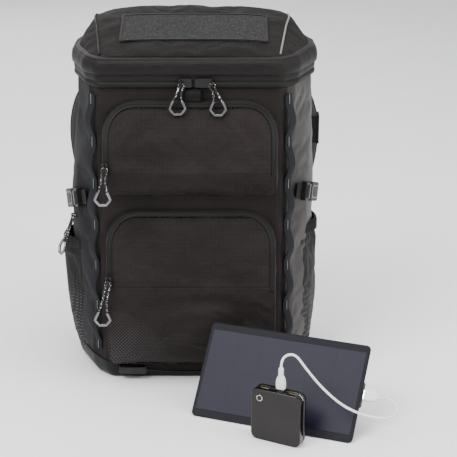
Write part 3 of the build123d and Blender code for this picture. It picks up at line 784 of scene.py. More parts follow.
def make_wall(name, start, end, low, high, material, node, slot, seed, swell=0.0, bulge=1.5,
              rows=90, cols=70, relief=0.8):
    """One fabric panel of the bag's wall with soft relief, buckled as cloth between its seams when it is
    given a swell.
    """
    reach = forward(start, end)

    def point(u, v):
        s = start + reach * v
        x = body_plan.at(s)[0].x
        y = body_plan.at(s)[0].y
        bottom = low if low > 60 else (seam_z(x) if y < -60 else BOOT_TOP)
        z = bottom + (high - bottom) * u
        factor = boot_factor(z) if z < 30 else 1.0
        fade = sin(pi * min(1, max(0, u))) * sin(pi * min(1, max(0, v)))
        out = bulge * fade + ripple((s, 0, z), 70, relief, seed) * min(1.0, 4 * fade)
        return wall_point(s, z, out, factor)

    obj = grid(name, rows, cols, point, material)
    face_out(obj)
    if swell:
        settle(obj, rim_indices(rows, cols), swell, pressure=0.4, frames=14, cap=4.5)
    thicken(obj, 1.8, 1)
    place(obj, "pack", node, slot=slot)


def make_walls():
    make_wall("front_panel_cloth", S_SEAM_L, S_SEAM_R, 0, RIM_LOW, M["front"], "front_panel",
              "shell_fabric", 1.0, rows=110, cols=90)
    # The right flank's lighter colour is partly painted light.
    make_wall("right_flank_cloth", S_SEAM_R, S_BACK_R, 0, RIM_LOW, M["flank_right_satin_lit"],
              "side_panel_right", "flank_fabric", 2.0, swell=0.006, bulge=2.0, relief=0.7)
    make_wall("left_flank_cloth", S_BACK_L, S_SEAM_L, 0, RIM_LOW, M["flank_left"],
              "side_panel_left", "shell_fabric", 3.0, swell=0.005, bulge=2.0, relief=0.6)
    make_wall("back_panel_cloth", S_BACK_R, S_BACK_L, 0, ZIP_Z, M["front"], "back_panel",
              "shell_fabric", 4.0, rows=60, cols=60, bulge=0.5)


# ------------------------------------------------------------------ mouth zip, collar and lid
def strip_path(z, out, start=S_STRIP_L, end=S_STRIP_R, step=4.0):
    """Points and normals along the plan from one place to another at one height."""
    reach = forward(start, end)
    count = int(reach / step)
    path, normals = [], []
    for k in range(count + 1):
        s = start + reach * k / count
        n = body_plan.at(s)[1]
        path.append(wall_point(s, z, out))
        normals.append((n.x, n.y, 0))
    return path, normals


def up_profile(pairs):
    """A section given as (out, up) pairs, for a sweep whose side axis points down."""
    return [(-up, out) for out, up in pairs]


def make_mouth():
    """The two coated zip flanges, with a fine line of teeth in the groove between them."""
    path, normals = strip_path(RIM_LOW, 0)
    lower = [(0.2, 0), (2.4, 0.3), (4.6, 2.2), (5.2, 4.6), (4.6, 7.0), (2.6, 7.5), (-2.6, 7.5), (-2.8, 0)]
    flange = sweep("rim_flange", path, normals, up_profile(lower), M["rubber"])
    line_path, line_normals = strip_path(ZIP_Z - 0.75, 4.1)
    line = sweep("rim_line", line_path, line_normals, round_profile(0.55, 6), M["olive"])
    stitch_path, stitch_normals = strip_path(RIM_LOW + 2.0, 4.9)
    rows = dashes("rim_stitch", stitch_path, stitch_normals, 3.2, 1.6, 0.35, M["thread"])
    place(join("rim_zip_band", [flange, line, rows]), "pack", "rim_zip_tape", slot="zip_rubber")

    upper = [(-2.8, 0), (2.6, 0), (4.6, 0.6), (5.2, 3.2), (5.3, 9.5), (4.4, 13.6), (1.5, 14.5), (-2.8, 14.5)]
    path, normals = strip_path(ZIP_Z + 0.4, 0)
    flange = sweep("lid_flange", path, normals, up_profile(upper), M["rubber"])
    line_path, line_normals = strip_path(ZIP_Z + 0.85, 4.1)
    line = sweep("lid_line", line_path, line_normals, round_profile(0.5, 6), M["olive"])
    stitch_path, stitch_normals = strip_path(ZIP_Z + 10.0, 5.3)
    rows = dashes("lid_stitch", stitch_path, stitch_normals, 3.2, 1.6, 0.35, M["thread"])
    place(join("lid_zip_band", [flange, line, rows]), "lid", "lid_zip_tape", slot="zip_rubber")

    flap = [(5.6, -6.0), (7.4, -4.5), (8.0, 2), (7.0, 9), (4.6, 13.4), (0.5, 16.0), (-3.0, 16.6),
            (-5.5, 15.5), (-2, 8), (0, 0), (5.4, -3)]
    path, normals = strip_path(COLLAR_LOW, 0, step=3.0)
    wavy = [Vector(p) + Vector(n) * ripple(p, 30, 0.9, 7) for p, n in zip(path, normals)]
    collar = sweep("collar_flap", wavy, normals, up_profile(flap), M["collar"])
    path, normals = strip_path(COLLAR_LOW + 14.6, 2.4, step=3.0)
    wavy = [Vector(p) + Vector(n) * ripple(p, 30, 0.9, 7) for p, n in zip(path, normals)]
    piping = sweep("collar_piping", wavy, normals, round_profile(1.5), M["piping"])
    place(join("lid_collar_flap", [collar, piping]), "lid", "lid_collar", slot="shell_fabric")


def dashes(name, path, normals, length, gap, radius, material):
    """A row of small stitches lying on a path."""
    points = [Vector(p) for p in path]
    distance, verts, faces = 0.0, [], []
    period = length + gap
    for (a, b), n in zip(zip(points, points[1:]), normals):
        n = Vector(n)
        run = (b - a).length
        if run < 1e-6:
            continue
        t = (b - a) / run
        side = t.cross(n).normalized()
        k = int(distance // period)
        while k * period < distance + run:
            start = k * period - distance
            if start >= 0 and start + length <= run + length:
                first = a + t * start
                last = a + t * (start + length)
                base = len(verts)
                for q, size in ((first, 0.5), (first.lerp(last, 0.2), 1.0), (first.lerp(last, 0.8), 1.0),
                                (last, 0.5)):
                    for c in range(4):
                        angle = c * pi / 2
                        verts.append(q + (side * cos(angle) + n * sin(angle)) * radius * size)
                for ring in range(3):
                    for c in range(4):
                        d = (c + 1) % 4
                        faces.append((base + ring * 4 + c, base + ring * 4 + d,
                                      base + ring * 4 + 4 + d, base + ring * 4 + 4 + c))
                faces.append((base + 3, base + 2, base + 1, base))
                faces.append((base + 12, base + 13, base + 14, base + 15))
            k += 1
        distance += run
    return add_object(name, verts, faces, material)


LID_PROFILE = [(-110, 451), (-95, 456.5), (-70, 463.5), (-42, 470.5), (-10, 479), (20, 486), (42, 488.6),
               (62, 489.2), (80, 487), (95, 482), (110, 476)]


def lid_z(x, y):
    """Height of the lid's top: a front slope, a crest near the back, and sides that fall away."""
    center = smooth_value(LID_PROFILE, y)
    side = smooth_value([(0, 0), (70, 0.8), (100, 3.0), (120, 6.5), (133, 12), (150, 24), (165, 38)], abs(x))
    rear = smooth_value([(0, 0), (60, 0), (75, 3), (85, 12), (95, 30)], y)
    return max(center - side - rear, DOME_LOW - 2)


def make_lid():
    """The domed lid: one skin, pinned at its seams and left to buckle between them."""
    rings, cols = 46, 176

    def point(u, v):
        s = v * body_plan.total
        p = waist(body_plan.at(s)[0], DOME_LOW) * (0.985 * (1 - u))
        if u <= 0.001:
            return Vector((p.x, p.y, DOME_LOW - 1))
        z = lid_z(p.x, p.y)
        edge = min(1.0, u / 0.07)
        z = DOME_LOW + (z - DOME_LOW) * sqrt(edge)
        return Vector((p.x, p.y, z + ripple(p.to_3d(), 38, 0.9, 11) * edge))

    skin = grid("lid_skin", rings - 1, cols, lambda u, v: point(u * 0.985, v), M["lid"], closed=True)
    face_out(skin, Vector((0, 0, 0.40)))
    mesh = skin.data
    pins = [v.index for v in mesh.vertices
            if v.index < cols or v.index >= (rings - 2) * cols
            or abs(abs(v.co.x) - lid_seam(v.co.y / MM) * MM) < 0.0022
            or (-0.093 < v.co.x < 0.102 and -0.058 < v.co.y < 0.020)]
    settle(skin, pins, 0.008, pressure=0.5, frames=14, cap=3.0)
    thicken(skin, 2.0, 0)
    parts = [skin]
    # The right seam's piping is the pale copy: a painted highlight.
    for side, material in ((-1, M["piping"]), (1, M["lit_piping_highlight"])):
        path, normals = [], []
        for k in range(60):
            y = -84 + 170 * k / 59
            x = side * lid_seam(y)
            path.append((x, y, lid_z(x, y) + 0.9))
            normals.append(Vector((side * 0.5, 0, 1)).normalized())
        parts.append(sweep(f"lid_piping_{side}", path, normals, round_profile(1.4), material))
    parts.append(wall_strip("lid_back_wall", S_STRIP_R, S_STRIP_L, 424.6, 451, M["lid"]))
    place(join("lid_dome", parts), "lid", "lid_shell", slot="lid_fabric")

    field_low, field_high = Vector((-93, -58, 0)), Vector((102, 20, 0))

    def field(u, v):
        x = field_low.x + (field_high.x - field_low.x) * v
        y = field_low.y + (field_high.y - field_low.y) * u
        return Vector((x, y, lid_z(x, y) + 1.5))

    pile = grid("loop_sheet", 26, 70, field, M["loop"])
    face_out(pile, Vector((0, 0, 0.40)))
    thicken(pile, 1.2, 0)
    border = []
    for k in range(160):
        t = k / 160 * 4
        side, f = int(t), t - int(t)
        u, v = [(0, f), (f, 1), (1, 1 - f), (1 - f, 0)][side]
        p = field(0.02 + 0.96 * u, 0.006 + 0.988 * v)
        border.append(p + Vector((0, 0, 0.2)))
    edge = sweep("loop_edge", border, [(0, 0, 1)] * len(border), tape_profile(3.0, 0.8), M["piping"],
                 closed=True)
    place(join("lid_loop_patch", [pile, edge]), "lid", "lid_loop_field", slot="loop_field")


def lid_seam(y):
    """Half-width of the lid's top panel at the seams."""
    return smooth_value([(-95, 116), (0, 127), (50, 133), (95, 128)], y)


def wall_strip(name, start, end, low, high, material):
    """A plain band of wall."""
    reach = forward(start, end)
    obj = grid(name, 8, 60, lambda u, v: wall_point(start + reach * v, low + (high - low) * u,
                                                    0.4 * sin(pi * u)), material)
    face_out(obj)
    return thicken(obj, 2.0, 0)


# ------------------------------------------------------------------ front pockets
class Pocket:
    """A boxed front pocket: its outline seen from the front and its depth at each height."""

    def __init__(self, name, body, half_width, low, zip_end, high, cover_top, profile, seed):
        self.name, self.body, self.half_width = name, body, half_width
        self.low, self.zip_end, self.high, self.cover_top = low, zip_end, high, cover_top
        self.profile = sorted((z, y) for y, z in profile)
        self.seed = seed

    def y(self, x, z):
        """The front's depth, a little further back towards the sides."""
        crown = 2.2 * (abs(x) / self.half_width) ** 3
        return smooth_value(self.profile, z) + crown

    def normal(self, z):
        slope = (smooth_value(self.profile, z + 1) - smooth_value(self.profile, z - 1)) / 2
        return Vector((0, -1, slope)).normalized()

    def outline(self, inset):
        return Outline([(self.half_width - inset, self.low + inset, 16 - inset * 0.4),
                        (self.half_width - inset, self.high - inset, 42 - inset),
                        (-self.half_width + inset, self.high - inset, 42 - inset),
                        (-self.half_width + inset, self.low + inset, 16 - inset * 0.4)])

    def arch(self, inset, drop):
        """The part of the outline that the zip follows, from its left end over the top."""
        shape = self.outline(inset)
        count = 150
        foot = self.zip_end - drop
        reach = self.half_width - inset
        path = [shape.at(shape.total * k / count)[0] for k in range(count)]
        keep = sorted((p for p in path if p.y >= foot), key=lambda p: atan2(p.y - (foot - 40), p.x))
        keep = [Vector((reach, foot))] + keep + [Vector((-reach, foot))]
        return [Vector((p.x, self.y(p.x, p.y), p.y)) for p in keep]

    def front(self, half_width, low, high, radius_low, radius_high, rows, cols, label, material):
        """A sheet over the pocket's front, narrowed where its corners are round."""

        def width(z):
            if radius_high and z > high - radius_high:
                rise = z - (high - radius_high)
                return half_width - radius_high + sqrt(max(0.0, radius_high**2 - rise**2))
            if radius_low and z < low + radius_low:
                rise = low + radius_low - z
                return half_width - radius_low + sqrt(max(0.0, radius_low**2 - rise**2))
            return half_width

        def point(u, v):
            if radius_high:
                u = sin(u * pi / 2)
            elif radius_low:
                u = 1 - sin((1 - u) * pi / 2)
            z = low + (high - low) * u
            x = width(z) * (2 * v - 1)
            fade = min(1.0, 8 * u * (1 - u)) * min(1.0, 8 * v * (1 - v))
            relief = ripple((x, 0, z), 48, 1.1, self.seed) * fade
            return Vector((x, self.y(x, z) - relief, z))

        return face_out(grid(label, rows, cols, point, material))


UPPER = Pocket("upper_pocket", "upper_flap", 113, 268, 305, 395, 383.5,
               [(-98, 268), (-108, 271), (-119, 279), (-126, 292), (-129.5, 305), (-129, 320), (-125, 338),
                (-117.5, 356), (-108, 374), (-103, 384), (-101, 395)], 21.0)
LOWER = Pocket("lower_pocket", "lower_flap", 112, 24, 148, 245.5, 234,
               [(-98, 24), (-108, 27), (-117, 34), (-124, 48), (-129, 66), (-131, 95), (-131, 125),
                (-130, 148), (-127, 175), (-121, 200), (-111, 222), (-104, 234), (-101, 245.5)], 31.0)


def make_pocket(pocket, low_material):
    """Cover, fixed lower front, boxed sides and the zip round the top of one pocket."""
    rows, cols = 56, 84
    cover = pocket.front(pocket.half_width - 7.0, pocket.zip_end + 0.2, pocket.high - 8.0, 0, 34,
                         rows, cols, f"{pocket.name}_flap_cloth", M["front"])
    settle(cover, rim_indices(rows, cols), 0.016, pressure=0.9, frames=16, cap=5.0)
    thicken(cover, 1.8, 1)
    place(cover, pocket.body, f"{pocket.name}_cover", slot="shell_fabric")

    low_rows = 40 if pocket is UPPER else 72
    lower = pocket.front(pocket.half_width - 0.6, pocket.low + 0.6, pocket.zip_end, 15, 0,
                         low_rows, cols, "fixed_front", low_material)
    settle(lower, rim_indices(low_rows, cols), 0.02, pressure=0.7, frames=14, cap=4.0)
    thicken(lower, 1.6, 1)
    shape = pocket.outline(0)
    depth_steps, around = 12, 150

    def side(u, v):
        p, n = shape.at(shape.total * v)
        front = pocket.y(p.x, p.y)
        if u < 0.16:
            back = (u / 0.16)
            inset = 1.6 * (1 - back) ** 2
            y = front + 1.8 * back
        else:
            back = (u - 0.16) / 0.84
            inset = -1.6 * sin(pi * back)
            y = front + 1.8 + (FRONT_Y + 0.6 - front - 1.8) * back
        relief = ripple((p.x, y, p.y), 22, 0.9, pocket.seed)
        fade = min(1.0, 4 * u * (1 - u))
        return Vector((p.x - n.x * (inset - relief * fade), y, p.y - n.y * (inset - relief * fade)))

    gusset = face_out(grid("gusset_wall", depth_steps, around, side, M["front"], closed=True),
                      Vector((0, -0.11, (pocket.low + pocket.high) / 2 * MM)))
    thicken(gusset, 1.6, 1)
    rim, normals = [], []
    for k in range(170):
        p, n = shape.at(shape.total * k / 170)
        rim.append((p.x - n.x * 0.6, pocket.y(p.x, p.y) + 0.6, p.y - n.y * 0.6))
        normals.append(Vector((n.x, -0.6, n.y)).normalized())
    edge = sweep("pocket_edge", rim, normals, round_profile(1.1, 6), M["front"], closed=True)
    place(join(f"{pocket.name}_body", [lower, gusset, edge]), "pack", f"{pocket.name}_gusset",
          slot="shell_fabric")

    path = pocket.arch(3.6, 6.0)
    normals = [pocket.normal(p.z) for p in path]
    tape = [(-3.4, -0.6), (-3.2, 0.7), (-2.7, 1.1), (-0.8, 1.2), (-0.35, 0.45), (0.35, 0.45),
            (0.8, 1.2), (2.6, 1.1), (3.2, 0.6), (3.3, -0.6)]
    flange = sweep("zip_flange", path, normals, tape, M["rubber"])
    teeth = sweep("zip_line", [p + n * 0.55 for p, n in zip(path, normals)], normals,
                  [(-0.35, -0.2), (-0.3, 0.25), (0.3, 0.25), (0.35, -0.2)], M["olive"])
    outer = pocket.arch(0.4, 6.0)
    stitch = dashes("zip_stitch", [p + n * 0.9 for p, n in zip(outer, normals)], normals, 2.6, 1.4, 0.3,
                    M["thread"])
    return [flange, teeth, stitch]


def make_pockets():
    """Both front pockets, and the short zip on the left flank."""
    parts = make_pocket(UPPER, M["front"]) + make_pocket(LOWER, M["front_low"])
    start, end = body_plan.near(-162.0, -6.0), body_plan.near(-143.0, -60.0)
    path, normals = strip_path(217.5, 0.4, start, end, 2.0)
    tape = [(-4.2, -0.4), (-3.8, 0.9), (-0.8, 1.1), (-0.3, 0.5), (0.3, 0.5), (0.8, 1.1), (3.8, 0.9),
            (4.2, -0.4)]
    parts.append(sweep("flank_zip", path, normals, tape, M["rubber"]))
    place(join("pocket_zip_bands", parts), "pack", "pocket_zips", slot="zip_rubber")


# ------------------------------------------------------------------ side pockets
def make_side_pocket(name, side, top, low_reach, top_reach, material, slot, seed, gathers):
    """A pouch of cloth that bulges below an elastic hem."""
    rows, cols = 60, 72
    low = BOOT_TOP - 6

    def point(u, v):
        rise = 7.0 * max(0.0, 0.5 - v) * 2
        z = low + (top + rise - low) * u
        reach = low_reach + (top_reach - low_reach) * u
        belly = 3.5 * sin(pi * min(1.0, u / 0.85)) ** 1.5
        hem = smooth_value([(0, 0), (0.84, 0), (0.9, 2.5), (1.0, 2.0)], u)
        angle = (v - 0.5) * 2
        y = 4 + angle * 56
        wall_x = body_plan.at(flank_distance(1, y))[0].x
        bulge = (1 - abs(angle) ** 2.4)
        x = wall_x + 0.6 + (reach - 165 + belly - hem) * bulge
        gathered = smooth_value([(0, 0.1), (0.7, 0.2), (0.86, 1), (1, 0.9)], u)
        crimp = gathers * sin(v * 2 * pi * 17) * gathered
        x += crimp * bulge + ripple((y, 0, z), 44, 0.8, seed) * bulge
        if u < 0.08:
            x -= (1 - u / 0.08) * (x - wall_x) * 0.75
        return Vector((side * x, y, z))

    pouch = face_out(grid("pouch", rows, cols, point, material))
    pins = rim_indices(rows, cols)
    settle(pouch, pins, 0.007, pressure=0.6, frames=14, cap=3.0)
    thicken(pouch, 1.8, 1)
    hem_path, hem_normals = [], []
    for k in range(90):
        p = point(0.955, 0.03 + 0.94 * k / 89)
        hem_path.append(p + Vector((side * 0.6, 0, 0)))
        hem_normals.append(Vector((side, 0, 0)))
    band = sweep("hem", hem_path, hem_normals, tape_profile(13.0, 1.4), M["strap"])
    pocket = join(f"{name}_pouch", [pouch, band])
    place(pocket, "pack", name, slot=slot)


def make_side_pockets():
    make_side_pocket("side_pocket_left", -1, 181, 167, 182, M["side_left"], "shell_fabric", 41.0,
                     0.5)
    make_side_pocket("side_pocket_right", 1, 204, 165.5, 173, M["side_right"], "flank_fabric", 43.0,
                     1.2)


# ------------------------------------------------------------------ webbing ladders and loops
def make_ladders():
    """Webbing down both front corners, bowed between tacks of light thread."""
    first, pitch, count, flat = 48.0, 58.0, 7, 6.0
    parts = []
    for side in (-1, 1):
        base = Vector((side * CORNER_X, CORNER_Y, 0))
        outward = Vector((side, -1, 0)).normalized()
        path = []
        z = first - flat
        while z <= first + (count - 1) * pitch + flat:
            place_in = (z - first) % pitch
            lift = 1.0
            if flat < place_in < pitch - flat and z < first + (count - 1) * pitch and z > first:
                t = (place_in - flat) / (pitch - 2 * flat)
                lift += 7.4 * sin(pi * t) ** 1.3
            path.append(base + outward * lift + Vector((0, 0, z)))
            z += 2.0
        parts.append(sweep("ladder", path, [outward] * len(path), tape_profile(12.5, 1.6), M["daisy"]))
        for index in range(count):
            height = first + index * pitch
            bar = [base + outward * 2.7 + Vector((0, 0, height + dz)) for dz in (-6.8, 0, 6.8)]
            parts.append(sweep("tack", bar, [outward] * 3, tape_profile(1.4, 0.8, 0.3), M["tack"]))
    place(join("webbing_ladders", parts), "pack", "daisy_chains", slot="webbing")


def make_loops():
    """Gear loops at the foot of the front, and the grab tab under the zip."""
    parts = []
    for side in (-1, 1):
        route = ((64, -95.4), (64.6, -99.8), (68, -102.0), (82, -102.6), (96, -102.0), (99.4, -99.8),
                 (100, -95.4))
        smooth = refine([Vector((side * x, y, 15)) for x, y in route], 4)
        normals = [n_away(smooth, i, Vector((side * 82, -92, 15))) for i in range(len(smooth))]
        parts.append(sweep("gear_loop", smooth, normals, tape_profile(10.0, 1.5), M["loop_web"]))
    route = ((-95.2, 411), (-99, 411.2), (-102.2, 408), (-103, 403), (-102.0, 398), (-98.5, 396.6),
             (-95.2, 397))
    smooth = refine([Vector((4, y, z)) for y, z in route], 4)
    normals = [n_away(smooth, i, Vector((4, -97, 404))) for i in range(len(smooth))]
    parts.append(sweep("grab_tab", smooth, normals, tape_profile(20.0, 1.4), M["strap"]))
    place(join("webbing_loops", parts), "pack", "gear_loops", slot="webbing")


def n_away(path, index, center):
    """The direction away from a loop's middle, square to its run."""
    before = path[max(index - 1, 0)]
    after = path[min(index + 1, len(path) - 1)]
    tangent = (after - before).normalized()
    away = path[index] - center
    return (away - tangent * away.dot(tangent)).normalized()


def refine(points, steps):
    """A smooth run of points through the given ones."""
    out = []
    for k in range(len(points) - 1):
        p0 = points[max(k - 1, 0)]
        p1, p2 = points[k], points[k + 1]
        p3 = points[min(k + 2, len(points) - 1)]
        for i in range(steps):
            t = i / steps
            out.append(0.5 * ((2 * p1) + (p2 - p0) * t + (2 * p0 - 5 * p1 + 4 * p2 - p3) * t**2
                              + (3 * p1 - p0 - 3 * p2 + p3) * t**3))
    return out + [points[-1]]


# ------------------------------------------------------------------ harness
BACKWARDS = Vector((0, 1, 0))


def make_strap(side):
    """A curved foam strap from the yoke down to its ladder lock."""
    name = "right" if side > 0 else "left"
    route = ((86, 99, 402), (92, 108, 398), (103, 116, 386), (127, 118.5, 362), (143, 118.5, 338),
             (150, 118.5, 308), (149, 118.5, 272), (141, 118, 232), (130, 118, 196), (121, 118, 168),
             (118, 118, 150), (116, 118, 138))
    path = refine([Vector((side * x, y, z)) for x, y, z in route], 5)
    width = [22 + 6 * smooth_value([(0, 0), (0.25, 1), (0.75, 1), (1, -0.4)], k / (len(path) - 1))
             for k in range(len(path))]
    verts, sideways, size = [], [], 20
    for i, p in enumerate(path):
        tangent = (path[min(i + 1, len(path) - 1)] - path[max(i - 1, 0)]).normalized()
        across = tangent.cross(BACKWARDS).normalized()
        out = across.cross(tangent).normalized()
        sideways.append(across)
        for k in range(size):
            angle = 2 * pi * k / size
            c, s = cos(angle), sin(angle)
            h = 5.6 * plump(s, 0.7) + 0.5 * sin(i * 0.9) * abs(s)
            verts.append(p + across * width[i] * plump(c, 0.45) + out * h)
    pad = add_object("strap_pad", verts, ring_faces(len(path), size), M["pad"])
    tidy_normals(pad)
    thick = pad.modifiers.new("subdivide", "SUBSURF")
    thick.levels = thick.render_levels = 1
    front = [p + Vector((0, 6.2, 0)) for p in path[8:]]
    tape = sweep("strap_tape", front, [BACKWARDS] * len(front), tape_profile(20.0, 1.4), M["strap"])
    edges = [pad, tape]
    for way in (-1, 1):
        line = [p + across * way * reach * 0.99 for p, across, reach in zip(path, sideways, width)]
        edges.append(sweep("strap_edge", line, [BACKWARDS] * len(line), round_profile(1.5, 6),
                           M["piping"]))
    strap = join(f"shoulder_pad_{name}", edges)
    place(strap, "pack", f"shoulder_strap_{name}", slot="mesh_pad")


def make_pads():
    """Two ribs and a lumbar pad: crowned foam under open mesh, with sewn channels across each rib."""
    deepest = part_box("back_pads")[1][1] / MM
    spacing, stitch = 56.0, 2.6
    parts = []
    panels = [(-108, -28, 130, 355), (28, 108, 130, 355), (-108, 108, 40, 118)]
    for x0, x1, z0, z1 in panels:
        rows, cols = 40, 26 if x1 - x0 < 100 else 60

        def point(u, v, x0=x0, x1=x1, z0=z0, z1=z1):
            x, z = x0 + (x1 - x0) * v, z0 + (z1 - z0) * u
            crown = (1 - abs(2 * u - 1) ** 7) ** 0.5 * (1 - abs(2 * v - 1) ** 6) ** 0.5
            seam = 0.0
            if z1 - z0 > 100:
                seam = max(exp(-((z - z0 - k * spacing) / stitch) ** 2) for k in range(1, 5))
            pull = 3.0 * (1 - crown)
            x += (x0 + x1 - 2 * x) / (x1 - x0) * pull
            depth = (deepest - BACK_Y - 1.6) * crown * (1 - 0.45 * seam)
            return Vector((x, BACK_Y + 0.8 + depth, z))

        top = face_out(grid("pad_top", rows, cols, point, M["pad"]), Vector((0, 0.0, 0.2)))
        settle(top, rim_indices(rows, cols), 0.01, pressure=0.5, frames=8, cap=1.5)
        thicken(top, 0.9, 1)
        parts.append(top)
    pads = join("back_cushions", parts)
    place(pads, "pack", "back_pads", slot="mesh_pad")


def make_sleeve():
    """The padded laptop sleeve and the bag's inner sheets keep their CAD shape, in lining cloth."""
    dress("laptop_sleeve", M["lining"])
    dress("frame_stiffeners", M["sheet"])


def dress(node, material, bevel=0.0):
    """Gives a CAD node its finish, and softens its edges where asked."""
    obj = nodes[node]
    obj.data.materials.clear()
    obj.data.materials.append(material)
    if bevel:
        soft = obj.modifiers.new("edges", "BEVEL")
        soft.width = bevel * MM
        soft.segments = 2
        soft.limit_method = "ANGLE"
        soft.angle_limit = radians(40)


# ------------------------------------------------------------------ buckles, straps and hardware
BUCKLE_LEAN = radians(17)
BUCKLE_BACK = 36.0
BUCKLE_Z = {-1: 247.0, 1: 256.0}


def flank_frame(side):
    """The origin and axes of a side buckle's plane: along the strap, up it, and outwards."""
    along_x, along_y = FLANK_RUN
    run = Vector((side * along_x, along_y, 0)).normalized()
    out = Vector((side * along_y, -along_x, 0)).normalized()
    origin = Vector((side * 138, -74, BUCKLE_Z[side])) + run * BUCKLE_BACK + out * 2.2
    along = run * -cos(BUCKLE_LEAN) + Vector((0, 0, sin(BUCKLE_LEAN)))
    return origin, along, out.cross(along) * side, out


def make_compression():
    """Side webbing from both buckles: a short front run, and a rear run to the back seam."""
    parts = []
    for side in (-1, 1):
        origin, along, across, out = flank_frame(side)
        for first, last in ((6, 35), (-122, -6)):
            path, normals = [], []
            for k in range(25):
                p = origin + along * (first + (last - first) * k / 24)
                spot, normal = body_plan.at(flank_distance(side, p.y))
                spot = waist(spot, p.z)
                normal = Vector((normal.x, normal.y, 0))
                path.append(Vector((spot.x, spot.y, p.z)) + normal * 2.4)
                normals.append(normal)
            parts.append(sweep("compression", path, normals, tape_profile(20.0, 1.5), M["strap"]))
    place(join("side_compression_webbing", parts), "pack", "compression_straps", slot="webbing")


def slab(name, outline, low, high, origin, along, across, out, material, bevel=1.2):
    """A moulded plate: an outline in (along, across), from low to high outwards."""
    verts = [origin + along * a + across * b + out * low for a, b in outline]
    verts += [origin + along * a + across * b + out * high for a, b in outline]
    n = len(outline)
    faces = [tuple(range(n))[::-1], tuple(range(n, 2 * n))]
    faces += [(k, (k + 1) % n, n + (k + 1) % n, n + k) for k in range(n)]
    obj = add_object(name, verts, faces, material, smooth=False)
    tidy_normals(obj)
    if bevel:
        soft = obj.modifiers.new("edges", "BEVEL")
        soft.width = bevel * MM
        soft.segments = 3
        soft.limit_method = "ANGLE"
        soft.angle_limit = radians(30)
        soft.harden_normals = True
        obj.data.polygons.foreach_set("use_smooth", [True] * len(obj.data.polygons))
    return obj


def make_buckles():
    """Side-release buckles: the socket with its window and rim, and the plug with a ridged grip; the pale
    rims are painted highlights on the black plastic.
    """
    for side, name in ((-1, "left"), (1, "right")):
        origin, along, across, out = flank_frame(side)

        def plate(label, outline, low, high, material, bevel, axes=(origin, along, across, out)):
            return slab(label, outline, low, high, *axes, M[material], bevel)

        shell = [(-30, -11.5), (-28, -13), (-8, -13), (-3, -11.5), (-0.5, -8), (-0.5, 8), (-3, 11.5),
                 (-8, 13), (-28, 13), (-30, 11.5)]
        rim = [(-25, -9), (-8, -9), (-4, -6), (-4, 6), (-8, 9), (-25, 9)]
        face = [(-23.4, -7.4), (-8.6, -7.4), (-5.4, -5), (-5.4, 5), (-8.6, 7.4), (-23.4, 7.4)]
        parts = [plate("socket", shell, 0.2, 8.8, "buckle", 1.6),
                 # The pale rims on socket and plug are painted highlights.
                 plate("socket_rim", rim, 8.6, 9.7, "buckle_rim_highlight", 0.8),
                 plate("socket_face", face, 8.8, 10.1, "buckle", 0.7)]
        place(join(f"{name}_socket", parts), "pack", "buckle_sockets", slot="buckle_plastic")
        shell = [(0.5, -10), (3, -12.5), (14, -13), (18, -12), (18, 12), (14, 13), (3, 12.5),
                 (0.5, 10)]
        parts = [plate("plug", shell, 0.6, 8.4, "buckle", 1.5),
                 plate("plug_rim", [(3, -10), (5, -10), (5, 10), (3, 10)], 8.0, 9.3, "buckle_rim_highlight", 0.5)]
        for reach in (8.5, 11.5, 14.5):
            bar = [(reach - 0.7, -9), (reach + 0.7, -9), (reach + 0.7, 9), (reach - 0.7, 9)]
            parts.append(plate("ridge", bar, 8.0, 9.1, "buckle", 0.4))
        for way in (-1, 1):
            prong = [(-18, way * 11), (-6, way * 12.4), (1, way * 9), (1, way * 6), (-6, way * 9.6),
                     (-18, way * 9)]
            parts.append(plate("prong", prong, 2.4, 6.6, "buckle", 0.5))
        place(join(f"{name}_plug_body", parts), f"{name}_plug", f"buckle_plug_{name}",
              slot="buckle_plastic")


def make_handle():
    """A padded grab loop folded over at the top of the back."""
    route = ((-28, 101.5, 404), (-28, 101.8, 385), (-24, 102, 374), (-14, 102, 369), (0, 102, 368),
             (14, 102, 369), (24, 102, 374), (28, 101.8, 385), (28, 101.5, 404))
    path = refine([Vector(p) for p in route], 6)
    verts, size = [], 16
    for i, p in enumerate(path):
        tangent = (path[min(i + 1, len(path) - 1)] - path[max(i - 1, 0)]).normalized()
        across = tangent.cross(BACKWARDS).normalized()
        share = i / (len(path) - 1)
        fat = 1 + 0.18 * max(0.0, 1 - (abs(share - 0.5) * 3.2) ** 4)
        for k in range(size):
            angle = 2 * pi * k / size
            verts.append(p + across * 5.4 * fat * plump(cos(angle), 0.7)
                         + BACKWARDS * (3.6 * fat * plump(sin(angle), 0.8)))
    loop = add_object("grip_tube", verts, ring_faces(len(path), size), M["strap"])
    tidy_normals(loop)
    handle = join("grab_handle", [loop])
    place(handle, "handle", "haul_handle", slot="webbing")


